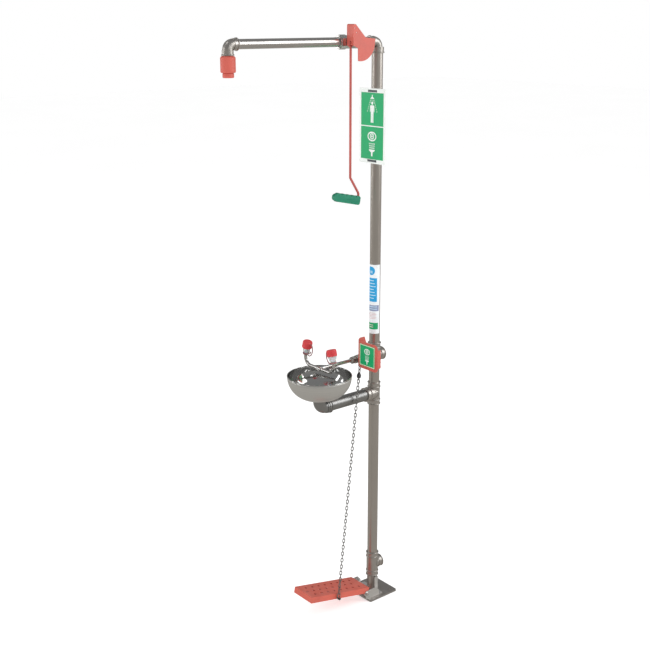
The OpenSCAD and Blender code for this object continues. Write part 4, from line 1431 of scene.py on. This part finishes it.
@dataclass
class EyewashNozzles:
    """Supply line, the two nozzles, their caps and tethers."""

    palette: Palette
    reach_x: float = 0.054
    bend: float = 0.032
    tilt: float = math.radians(15.0)
    supply_z: float = 1.058
    centre_y: float = -0.284
    cap_radius: float = 0.020
    cap_height: float = 0.030
    cup_length: float = 0.048

    def place(self, side: int) -> Matrix:
        """Works out where a nozzle stands.

        Args:
            side: 1 for the right nozzle, -1 for the left.

        Returns:
            The nozzle's place.
        """
        x = side * (self.reach_x + self.bend * math.cos(self.tilt))
        z = self.supply_z + self.bend * (1 + math.sin(self.tilt))
        return (Matrix.Translation((x, self.centre_y, z))
                @ Matrix.Rotation(-side * self.tilt, 4, "Y"))

    @property
    def cap_start(self) -> float:
        """Height of the cap's open end on the nozzle."""
        return self.cup_length - self.cap_height + 0.008

    def dress(self) -> None:
        """Gives the supply line's nodes their finishes."""
        p = self.palette
        finishes = {"wash_nipple": p.arm, "wash_valve_body": p.fitting, "wash_valve_seats": p.seat,
                    "wash_valve_gland": p.bright, "wash_valve_ball": p.bright,
                    "wash_valve_stem": p.bright, "push_lever_hub": p.bright,
                    "wash_union": p.fitting, "supply_tube": p.arm, "nozzle_manifold": p.bright,
                    "filter_discs": p.filter}
        for name, material in finishes.items():
            finish_node(name, material)
        for name in ("wash_valve_body", "wash_union", "wash_valve_gland"):
            softened(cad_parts[name], 0.0006)

    def cap(self, side: int) -> bpy.types.Object:
        """Builds one moulded dust cap with a finely ribbed skirt.

        Args:
            side: 1 for the right nozzle, -1 for the left.

        Returns:
            The new piece.
        """
        short = 0.0035
        r = self.cap_radius
        h = self.cap_height - short
        steps = 144
        start = self.cap_start + short
        rows = [(r - 0.003, 0.0, 0), (r - 0.0012, 0.0, 0), (r - 0.0003, 0.0012, 0),
                (r - 0.0003, 0.0034, 0), (r - 0.0009, 0.0042, 0), (r - 0.0008, 0.005, 1),
                (r - 0.0008, 0.012, 1), (r - 0.0009, h - 0.005, 1), (r - 0.0011, h - 0.0036, 0),
                (r - 0.0016, h - 0.002, 0), (r - 0.0026, h - 0.0009, 0), (r - 0.0045, h - 0.0003, 0),
                (r - 0.0095, h - 0.0002, 0), (r - 0.0102, h - 0.0008, 0), (r - 0.012, h - 0.0009, 0),
                (0.0, h - 0.0008, 0)]
        inner = [(0.0, h - 0.0045, 0), (r - 0.004, h - 0.0046, 0), (r - 0.003, h - 0.006, 0)]
        shape = bmesh.new()
        grid = []
        for k in range(steps):
            angle = 2 * math.pi * k / steps
            rib = 0.00035 * (1 if k % 4 in (0, 1) else -1)
            grid.append([shape.verts.new(((radius + rib * mark) * math.cos(angle),
                                          (radius + rib * mark) * math.sin(angle), z + start))
                         for radius, z, mark in [*rows, *inner]])
        count = len(rows) + len(inner)
        for k in range(steps):
            for i in range(count):
                j = (i + 1) % count
                here = grid[k]
                after = grid[(k + 1) % steps]
                shape.faces.new((here[i], after[i], after[j], here[j]))
        bmesh.ops.remove_doubles(shape, verts=shape.verts, dist=SAME_CORNER)
        shape.transform(self.place(side))
        name = "cap_right_moulding" if side > 0 else "cap_left_moulding"
        body = Body.CAP_RIGHT if side > 0 else Body.CAP_LEFT
        return dressed(from_bmesh(name, shape), body, Slot.RED_PLASTIC, self.palette.cap,
                       replaces=["dust_cap_right" if side > 0 else "dust_cap_left"])

    def funnel(self, side: int) -> bpy.types.Object:
        """Builds one thin-walled nozzle funnel.

        Args:
            side: 1 for the right nozzle, -1 for the left.

        Returns:
            The new piece.
        """
        r = self.cap_radius - 0.0034
        start = self.cap_start
        end = self.cup_length
        profile = [(0.0052, 0.0002), (0.0088, 0.0002), (0.009, 0.0012), (0.009, 0.0075),
                   (0.0098, 0.0088), (0.0118, 0.0115), (0.0133, 0.015), (r - 0.0012, start - 0.0026),
                   (r - 0.0002, start), (r, start + 0.002), (r, end - 0.0008), (r - 0.0008, end),
                   (r - 0.0018, end), (r - 0.0026, end - 0.0008), (r - 0.0026, start + 0.001),
                   (r - 0.004, start - 0.003), (0.0108, 0.0155), (0.0085, 0.0125), (0.0052, 0.011)]
        piece = turned("nozzle_funnel_right" if side > 0 else "nozzle_funnel_left", profile,
                       self.place(side), 96)
        return dressed(piece, Body.STAND, Slot.WHITE_PLASTIC, self.palette.clear,
                       replaces=["nozzle_cups"])

    def collar(self, side: int) -> bpy.types.Object:
        """Builds the elastic collar round a funnel's foot, with its two pull lobes.

        Args:
            side: 1 for the right nozzle, -1 for the left.

        Returns:
            The new piece.
        """
        place = self.place(side)
        shape = bmesh.new()
        for height in (0.003, 0.0052):
            path = [place @ p for p in ring_path(Vector((0, 0, height)), Vector((0, 0, 1)),
                                                 0.0106, 72)]
            swept(shape, path, 0.0018, 10, True)
        for lean in (-1, 1):
            lobe = [Vector((-side * 0.0105, lean * 0.004, 0.004)),
                    Vector((-side * 0.014, lean * 0.009, 0.0058)),
                    Vector((-side * 0.011, lean * 0.0155, 0.0072)),
                    Vector((-side * 0.004, lean * 0.0165, 0.0062)),
                    Vector((-side * 0.001, lean * 0.0108, 0.004))]
            swept(shape, [place @ p for p in curl(lobe)], 0.0018, 10)
        name = "tether_collar_right" if side > 0 else "tether_collar_left"
        return dressed(from_bmesh(name, shape), Body.STAND, Slot.TETHER_RUBBER,
                       self.palette.tether, replaces=["cap_tethers"])

    def loop(self, side: int) -> bpy.types.Object:
        """Builds the elastic loop from the collar up to the cap.

        Args:
            side: 1 for the right nozzle, -1 for the left.

        Returns:
            The new piece.
        """
        place = self.place(side)
        r = self.cap_radius
        points = [Vector((-side * 0.0108, 0, 0.0042)), Vector((-side * 0.0195, 0, 0.0012)),
                  Vector((-side * 0.029, 0, 0.0065)), Vector((-side * 0.0352, 0, 0.0185)),
                  Vector((-side * 0.0356, 0, 0.031)), Vector((-side * 0.0325, 0, 0.0425)),
                  Vector((-side * 0.0265, 0, 0.0502)), Vector((-side * (r - 0.0015), 0, 0.0515))]
        path = [place @ p for p in curl(points, 10)]
        shape = bmesh.new()
        swept(shape, path, [0.0019 + 0.0008 * max(0.0, (k - len(path) + 6) / 6)
                            for k in range(len(path))], 12)
        name = "tether_loop_right" if side > 0 else "tether_loop_left"
        piece = from_bmesh(name, shape)
        piece.data.materials.append(self.palette.tether)
        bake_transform(piece)
        return piece

    def build(self) -> None:
        """Builds both nozzles' fine pieces."""
        self.dress()
        for side in (-1, 1):
            self.cap(side)
            self.funnel(side)
            self.collar(side)
            self.loop(side)


@dataclass
class EyewashControl:
    """Push lever, its pictogram plate, the chain and the treadle."""

    palette: Palette
    plate_left: float = 0.047
    plate_low: float = 1.054
    plate_side: float = 0.086
    plate_front: float = -0.119
    chain_top: tuple[float, float, float] = (0.031, -0.102, 1.058)
    chain_low: tuple[float, float, float] = (0.066, -0.24271, 0.07834)
    end_link_at: float = 0.0082
    first_link_at: float = 0.0259
    link_count: int = 69
    link_gap: float = 0.0056
    link_wire: float = 0.0032
    twist: float = math.radians(50.0)
    barrel_at: float = 0.0585
    hinge_y: float = -0.082
    hinge_z: float = 0.036
    tread_tilt: float = math.radians(-12.0)
    tread_width: float = 0.114
    tread_run: float = 0.256
    tread_start: float = 0.026
    tread_top: float = 0.0235
    holes_in_row: int = 8

    def dress(self) -> None:
        """Gives the foot and hand control's nodes their finishes."""
        p = self.palette
        finishes = {"push_lever": p.red, "push_sign_plate": p.green, "push_chain_bolt": p.dark,
                    "treadle": p.tread, "treadle_chain_bolt": p.dark,
                    "hinge_bracket": p.bracket, "hinge_bolts": p.bright}
        for name, material in finishes.items():
            finish_node(name, material)
        for name, width in (("push_lever", 0.0007), ("hinge_bracket", 0.0007),
                            ("hinge_bolts", 0.0005)):
            softened(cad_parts[name], width, 3)

    def pictogram(self) -> bpy.types.Object:
        """Builds the eyewash picture and the pale border on the push plate.

        Returns:
            The new piece.
        """
        shape = bmesh.new()
        front = self.plate_front
        half = self.plate_side / 2
        mid_x = self.plate_left + half
        mid_z = self.plate_low + half

        def place(x: float, z: float, depth: float) -> Vector:
            """Turns the plate's own measures into a point."""
            return Vector((mid_x + x, front - depth, mid_z + z))

        edge = half - 0.0006
        inner = edge - 0.0026
        square = [(-edge, -edge), (edge, -edge), (edge, edge), (-edge, edge)]
        within = [(-inner, -inner), (inner, -inner), (inner, inner), (-inner, inner)]
        for piece in band(square, within):
            slab(shape, piece, 0.0, ENAMEL, place, 1)
        Pictures.eyewash(shape, place, 0.62)
        return dressed(from_bmesh("push_plate_picture", shape, False), Body.PUSH_LEVER,
                       Slot.SIGN_WHITE, self.palette.white, self.palette.lime)

    def links(self) -> bpy.types.Object:
        """Builds the chain's welded links, which twist a little along its length.

        Returns:
            The new piece.
        """
        top = Vector(self.chain_top)
        low = Vector(self.chain_low)
        span = (low - top).length
        ahead = (low - top).normalized()
        across = (Vector((1, 0, 0)) - ahead * ahead.x).normalized()
        depth = across.cross(ahead)
        shape = bmesh.new()

        def link(at: float, turn: float, inner: float, gap: float, wire: float) -> None:
            """Adds one oval link with its weld, at a distance along the chain.

            Args:
                at: distance of its middle along the chain.
                turn: its turn about the chain.
                inner: its inner length.
                gap: its inner width.
                wire: its wire's diameter.
            """
            side = across * math.cos(turn) + depth * math.sin(turn)
            radius = (gap + wire) / 2
            half = (inner - gap) / 2
            steps = 28
            path = [top + ahead * at + side * radius]
            for k in range(steps):
                angle = 2 * math.pi * (k + 0.5) / steps
                shift = half if math.sin(angle) > 0 else -half
                path.append(top + ahead * (at + shift + radius * math.sin(angle))
                            + side * (radius * math.cos(angle)))
            swept(shape, path, [wire * 0.6, *[wire / 2] * steps], 12, True)

        for at in (self.end_link_at, span - self.end_link_at):
            link(at, math.pi / 2, 0.022, 0.0105, 0.0035)
        last = self.link_count - 1
        step = (span - 2 * self.first_link_at) / last
        for i in range(self.link_count):
            ease = min(1.0, i / 6, (last - i) / 6)
            link(self.first_link_at + i * step, self.twist * ease + math.pi / 2 * (i % 2),
                 step + 0.0003, self.link_gap, self.link_wire)
        return dressed(from_bmesh("chain_links", shape), Body.CHAIN, Slot.BRIGHT_STEEL,
                       self.palette.chain, replaces=["chain"])

    def quick_link(self) -> bpy.types.Object:
        """Builds the dark barrel link below the chain's upper bolt.

        Returns:
            The new piece.
        """
        low = Vector(self.chain_low)
        top = Vector(self.chain_top)
        ahead = (low - top).normalized()
        centre = top + ahead * self.barrel_at
        place = Matrix.Translation(centre) @ ahead.to_track_quat("Z", "Y").to_matrix().to_4x4()
        profile = [(0.0056, -0.0085), (0.0072, -0.0076), (0.0084, -0.004), (0.0086, 0.0),
                   (0.0084, 0.004), (0.0072, 0.0076), (0.0056, 0.0085)]
        piece = turned("chain_barrel_link", profile, place, 48)
        return dressed(piece, Body.CHAIN, Slot.BRIGHT_STEEL, self.palette.dark)

    def tread_cups(self) -> bpy.types.Object:
        """Builds the pressed cups below the treadle's three rows of holes, in a darker red that paints
        the shade seen in the holes.

        Returns:
            The new piece.
        """
        shape = bmesh.new()
        place = (Matrix.Translation((0, self.hinge_y, self.hinge_z))
                 @ Matrix.Rotation(self.tread_tilt, 4, "X"))
        pitch = self.tread_run / (self.holes_in_row - 0.5)
        profile = [(0.0062, -0.0002), (0.0058, -0.0022), (0.0044, -0.0042), (0.0024, -0.0053),
                   (0.0, -0.0056)]
        steps = 32
        for row in (-1, 0, 1):
            offset = 0.5 if row == 0 else 0.0
            for i in range(self.holes_in_row):
                centre = Vector((row * self.tread_width * 0.27,
                                 -self.tread_start - pitch * (i + offset), self.tread_top))
                rings = []
                for r, z in profile:
                    ring = [centre + Vector((x, y, z)) for x, y in disc(0.0, 0.0, r, r, steps)]
                    rings.append([shape.verts.new(place @ point) for point in ring])
                for here, after in zip(rings, rings[1:]):
                    for k in range(steps):
                        m = (k + 1) % steps
                        shape.faces.new((here[k], after[k], after[m], here[m]))
        bmesh.ops.remove_doubles(shape, verts=shape.verts, dist=SAME_CORNER)
        piece = from_bmesh("tread_cups", shape)
        wall = piece.modifiers.new("wall", "SOLIDIFY")
        wall.thickness = 0.0008
        # The cups take the darker red: painted shade in the treadle's holes.
        return dressed(piece, Body.TREADLE, Slot.RED_PAINT, self.palette.shade)

    def bracket_welds(self) -> bpy.types.Object:
        """Builds the short welds that hold the bracket's foot.

        Returns:
            The new piece.
        """
        shape = bmesh.new()
        for x in (-0.0612, 0.0612):
            path = [Vector((x, 0.006 - 0.0045 * k, 0.0088)) for k in range(20)]
            weld_bead(shape, path, 0.0014, 0.0024, False)
        return dressed(from_bmesh("bracket_welds", shape), Body.STAND, Slot.STEEL_FITTING,
                       self.palette.weld)

    def build(self) -> None:
        """Builds the control's fine pieces."""
        self.dress()
        self.pictogram()
        self.links()
        self.quick_link()
        self.tread_cups()
        self.bracket_welds()


class Pictures:
    """Plain safety pictures, drawn about their own middle in metres."""

    @staticmethod
    def drops(shape: bmesh.types.BMesh, place: Placer,
              lines: Sequence[tuple[float, float, float, float]], width: float,
              count: int) -> None:
        """Adds rows of short strokes along lines.

        Args:
            shape: the bmesh that takes them.
            place: turns (x, z, depth) into a point.
            lines: start and end of each row.
            width: the strokes' width.
            count: strokes in each row.
        """
        for x0, z0, x1, z1 in lines:
            for k in range(count):
                a = (k + 0.15) / count
                b = (k + 0.75) / count
                slab(shape, bar(x0 + (x1 - x0) * a, z0 + (z1 - z0) * a, x0 + (x1 - x0) * b,
                                z0 + (z1 - z0) * b, width), 0.0, ENAMEL, place)

    @staticmethod
    def eyewash(shape: bmesh.types.BMesh, place: Placer, size: float) -> None:
        """Adds an open eye over rising streams and their fountain.

        Args:
            shape: the bmesh that takes the picture.
            place: turns (x, z, depth) into a point.
            size: scale of the picture.
        """

        def at(x: float, z: float, depth: float) -> Vector:
            """Scales the picture's measures."""
            return place(x * size, z * size, depth)

        steps = 48
        eye = 0.0275
        lids = band(disc(0.0, 0.027, 0.0265, 0.0195, steps), disc(0.0, 0.027, 0.0215, 0.0145, steps))
        iris = band(disc(0.0, eye, 0.0125, 0.0125, steps), disc(0.0, eye, 0.0085, 0.0085, steps))
        for piece in (*lids, *iris, disc(0.0, eye, 0.0045)):
            slab(shape, piece, 0.0, ENAMEL, at)
        streams = [(x, -0.024, x * 1.35, 0.002)
                   for x in (-0.0125, -0.0075, -0.0025, 0.0025, 0.0075, 0.0125)]
        Pictures.drops(shape, at, streams, 0.0028, 3)
        cup = [(-0.0175, -0.0265), (-0.0175, -0.0305), (-0.007, -0.0375), (-0.0042, -0.0375),
               (-0.0042, -0.054), (0.0042, -0.054), (0.0042, -0.0375), (0.007, -0.0375),
               (0.0175, -0.0305), (0.0175, -0.0265)]
        slab(shape, cup, 0.0, ENAMEL, at)

    @staticmethod
    def shower(shape: bmesh.types.BMesh, place: Placer) -> None:
        """Adds a standing figure below a spraying shower.

        Args:
            shape: the bmesh that takes the picture.
            place: turns (x, z, depth) into a point.
        """
        slab(shape, [(-0.002, 0.053), (-0.002, 0.047), (-0.0115, 0.0385), (0.0115, 0.0385),
                     (0.002, 0.047), (0.002, 0.053)], 0.0, ENAMEL, place)
        Pictures.drops(shape, place, [(-0.0095, 0.036, -0.028, -0.012), (0.0095, 0.036, 0.028, -0.012),
                                      (-0.0045, 0.0355, -0.0115, 0.0215),
                                      (0.0045, 0.0355, 0.0115, 0.0215), (0, 0.0355, 0, 0.029)],
                       0.0017, 6)
        slab(shape, disc(0.0, 0.0225, 0.0052, 0.0058), 0.0, ENAMEL, place)
        figure = [(-0.0095, 0.0145), (-0.0115, 0.0115), (-0.0122, -0.0095), (-0.0088, -0.0102),
                  (-0.0078, 0.0055), (-0.0072, 0.0055), (-0.0072, -0.0495), (-0.0011, -0.0495),
                  (-0.0007, -0.0165), (0.0007, -0.0165), (0.0011, -0.0495), (0.0072, -0.0495),
                  (0.0072, 0.0055), (0.0078, 0.0055), (0.0088, -0.0102), (0.0122, -0.0095),
                  (0.0115, 0.0115), (0.0095, 0.0145)]
        slab(shape, figure, 0.0, ENAMEL, place)


@dataclass
class Signs:
    """Sign board, its two pictures and the column's label."""

    palette: Palette
    front: float = -0.0233
    top: float = 2.1055
    margin: float = 0.008
    side: float = 0.122
    gap: float = 0.004
    label_radius: float = 0.02176
    label_high: float = 1.431
    label_facing: float = -88.0

    def dress(self) -> None:
        """Gives the signs' nodes their finishes."""
        p = self.palette
        for name, material in {"sign_board": p.white, "sign_panels": p.green,
                               "sign_bands": p.strap, "info_label": p.film}.items():
            finish_node(name, material)
        softened(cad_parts["sign_board"], 0.0004)

    def pictures(self) -> None:
        """Builds the two pictures on the green panels."""
        low = self.top - 2 * self.margin - self.side
        for name, draw, mid in (
                ("picture_shower", Pictures.shower, low + self.side / 2),
                ("picture_eyewash", lambda s, at: Pictures.eyewash(s, at, 0.92),
                 low - self.gap - self.side / 2)):
            shape = bmesh.new()

            def place(x: float, z: float, depth: float, middle: float = mid) -> Vector:
                """Turns the panel's own measures into a point."""
                return Vector((x, self.front - depth, middle + z))

            draw(shape, place)
            dressed(from_bmesh(name, shape, False), Body.STAND, Slot.SIGN_WHITE,
                    self.palette.white)

    def wrapped(self, shape: bmesh.types.BMesh, left: float, right: float, low: float,
                high: float, lift: float, material: int) -> None:
        """Adds a patch of print that follows the column.

        Args:
            shape: the bmesh that takes the patch.
            left: its first angle about the column, in degrees from the label's middle.
            right: its last angle.
            low: its lower edge.
            high: its upper edge.
            lift: how far it stands on the film.
            material: index of its colour.
        """
        first = self.label_facing + left
        last = self.label_facing + right
        steps = max(2, int((last - first) / 4))
        r = self.label_radius + lift
        rows = []
        for k in range(steps + 1):
            a = math.radians(first + (last - first) * k / steps)
            rows.append([shape.verts.new((r * math.cos(a), r * math.sin(a), z))
                         for z in (low, high)])
        for here, after in zip(rows, rows[1:]):
            face = shape.faces.new((here[0], after[0], after[1], here[1]))
            face.material_index = material

    def label_print(self) -> bpy.types.Object:
        """Builds the label's plain printed blocks, without any wording.

        Returns:
            The new piece.
        """
        shape = bmesh.new()
        top = self.label_high
        blue, pale, slate, pink, green, cream = range(6)
        ink = 0.00004
        over = 0.0001

        def strokes(start: float, pitch: float, tall: float, ends: Sequence[tuple[float, float]],
                    lift: float, colour: int) -> None:
            """Adds a column of strokes, each with its own two ends.

            Args:
                start: distance of the first stroke below the label's top.
                pitch: distance between strokes.
                tall: height of a stroke.
                ends: first and last angle of each stroke.
                lift: how far they stand on the film.
                colour: index of their colour.
            """
            for k, (left, right) in enumerate(ends):
                high = top - start - pitch * k
                self.wrapped(shape, left, right, high - tall, high, lift, colour)

        halves = [45.0 * math.sqrt(max(0.05, 1 - ((k - 9.5) / 10.2) ** 2)) for k in range(20)]
        strokes(0.0075, 0.0017, 0.00175, [(-half, half) for half in halves], ink, blue)
        strokes(0.0245, 0.0021, 0.0013, [(3 * k - 24, 20) for k in range(5)], over, pale)
        strokes(0.053, 0.0, 0.096, [(-68, 68)], ink, blue)
        strokes(0.062, 0.0118, 0.0032, [(-55, 34 + 9 * (k % 3)) for k in range(7)], over, pale)
        strokes(0.163, 0.0, 0.024, [(-96, 92)], ink, slate)
        strokes(0.168, 0.009, 0.0032, [(-76, 70)] * 2, over, pale)
        strokes(0.194, 0.0056, 0.0022, [(-80, 56 + 8 * (k % 2)) for k in range(5)], ink, pink)
        strokes(0.235, 0.0, 0.027, [(-88, 84)], ink, green)
        strokes(0.243, 0.008, 0.0026, [(-60, 30)] * 2, over, cream)
        p = self.palette
        return dressed(from_bmesh("label_print", shape), Body.STAND, Slot.LABEL_FILM, p.blue,
                       p.pale, p.slate, p.pink, p.green, p.cream)

    def build(self) -> None:
        """Builds the signs' fine pieces."""
        self.dress()
        self.pictures()
        self.label_print()


# ------------------------------------------------------------------ floor, light, camera


@dataclass
class Studio:
    """Plain pale floor, soft light and the camera."""

    azimuth: float = math.radians(50.69)
    height: float = math.radians(16.01)
    distance: float = 4.25531
    aim_z: float = 1.18186
    aim_side: float = -0.19777
    roll: float = math.radians(-0.17)
    lens: float = 59.09

    def camera(self) -> None:
        """Creates the camera."""
        data = bpy.data.cameras.new("view")
        data.lens = self.lens
        data.sensor_width = 36.0
        data.clip_end = 60.0
        camera = bpy.data.objects.new("view", data)
        bpy.context.scene.collection.objects.link(camera)
        az, el = self.azimuth, self.height
        back = Vector((math.sin(az) * math.cos(el), -math.cos(az) * math.cos(el), math.sin(el)))
        right = Vector((math.cos(az), math.sin(az), 0.0))
        up = back.cross(right)
        level = right * math.cos(self.roll) + up * math.sin(self.roll)
        upright = up * math.cos(self.roll) - right * math.sin(self.roll)
        place = Vector((0, 0, self.aim_z)) + right * self.aim_side + back * self.distance
        turn = Matrix((level, upright, back)).transposed().to_4x4()
        camera.matrix_world = Matrix.Translation(place) @ turn
        bpy.context.scene.camera = camera

    def softbox(self, name: str, place: Vector, aim: Vector, wide: float, high: float,
                power: float, mirrored: bool = True) -> None:
        """Creates one soft rectangular light.

        Args:
            name: the light's name.
            place: its middle.
            aim: the point that it faces.
            wide: its width.
            high: its height.
            power: its power in watts.
            mirrored: True when polished metal shows it.
        """
        data = bpy.data.lights.new(name, "AREA")
        data.shape = "RECTANGLE"
        data.size = wide
        data.size_y = high
        data.energy = power
        light = bpy.data.objects.new(name, data)
        light.location = place
        light.visible_glossy = mirrored
        light.rotation_mode = "QUATERNION"
        light.rotation_quaternion = (aim - place).to_track_quat("-Z", "Y")
        bpy.context.scene.collection.objects.link(light)

    def lights(self) -> None:
        """Creates the softboxes."""
        middle = Vector((0.0, -0.2, 1.2))
        self.softbox("side_box", Vector((3.6, 3.4, 3.7)), Vector((0, 0, 2.4)), 3.4, 4.2, 88.0)
        bowl = Vector((0.0, -0.28, 1.0))
        per_area = 12.0
        for name, ahead, far, wide, tall in (
                ("bowl_box_right", Vector((0.70, 0.46, 0.56)), 5.2, 0.8, 2.4),
                ("bowl_box_high", Vector((0.80, -0.09, 0.50)), 5.0, 0.7, 0.9),
                ("bowl_box_above", Vector((-0.16, -0.41, 0.90)), 4.4, 0.8, 0.6),
                ("bowl_box_left", Vector((-0.45, -0.82, 0.36)), 5.0, 0.6, 2.4),
                ("bowl_box_edge", Vector((-0.80, -0.58, 0.20)), 5.0, 0.6, 2.2)):
            self.softbox(name, bowl + ahead * far, bowl, wide, tall, per_area * wide * tall)
        self.softbox("key_box", Vector((1.6, -4.2, 3.2)), middle, 2.2, 1.6, 38.0, False)
        self.softbox("fill_box", Vector((-4.2, -2.2, 2.2)), middle, 1.6, 2.6, 12.0, False)

    def surround(self) -> None:
        """Creates the world: white to look at, a dim room to reflect and soft fill light."""
        world = bpy.data.worlds.new("studio")
        bpy.context.scene.world = world
        world.use_nodes = True
        w = Wiring(world.node_tree)
        up = w.add("SeparateXYZ", Vector=w.add("TexCoord").outputs["Generated"]).outputs["Z"]
        room = w.blend(w.span(up, -0.25, 0.35, 0.0, 1.0, True), (0.43, 0.41, 0.38),
                       (0.26, 0.26, 0.26))
        ray = w.add("LightPath")
        colour = w.blend(ray.outputs["Is Glossy Ray"], (0.62, 0.62, 0.62), room)
        colour = w.blend(ray.outputs["Is Camera Ray"], colour, (1.0, 1.0, 1.0))
        sky = w.add("Background", Color=colour, Strength=1.0)
        w.add("OutputWorld", Surface=sky.outputs[0])

    def floor(self) -> None:
        """Creates the floor under the base plate."""
        shape = bmesh.new()
        low = CAD_BOX[0].z - 0.0005
        reach = 30
        for x, y in ((-reach, -reach), (reach, -reach), (reach, reach), (-reach, reach)):
            shape.verts.new((x, y, low))
        shape.faces.new(shape.verts)
        floor = from_bmesh("studio_floor", shape, False)

        def build(w: Wiring, shader: bpy.types.Node) -> None:
            """Wires the pale floor.

            Args:
                w: the material's wiring.
                shader: its Principled shader.
            """
            marks = use(w, handling_marks(), Cloud_Scale=0.6, Fleck_Scale=60.0)
            feed(w, shader, "Base Color", w.blend(marks.outputs["Cloud"], (0.88, 0.88, 0.88),
                                                  (0.9, 0.9, 0.9)))
            shader.inputs["Emission Color"].default_value = (1.0, 1.0, 1.0, 1.0)
            shader.inputs["Emission Strength"].default_value = 0.46
            shader.inputs["Roughness"].default_value = 0.9

        floor.data.materials.append(shaded("pale_floor", build))
        floor.visible_glossy = False

    def build(self) -> None:
        """Builds the studio."""
        self.camera()
        self.lights()
        self.surround()
        self.floor()
        bpy.context.scene.view_settings.view_transform = "Standard"


def main() -> None:
    """Builds the whole scene in order."""
    logging.basicConfig(level=logging.INFO, format="%(name)s: %(message)s")
    Studio().build()
    palette = Palette()
    for part in (Column(palette), ShowerControl(palette), EyewashBowl(palette),
                 EyewashNozzles(palette), EyewashControl(palette), Signs(palette)):
        part.build()
        LOG.info("built %s", type(part).__name__)


if __name__ == "__main__":
    main()
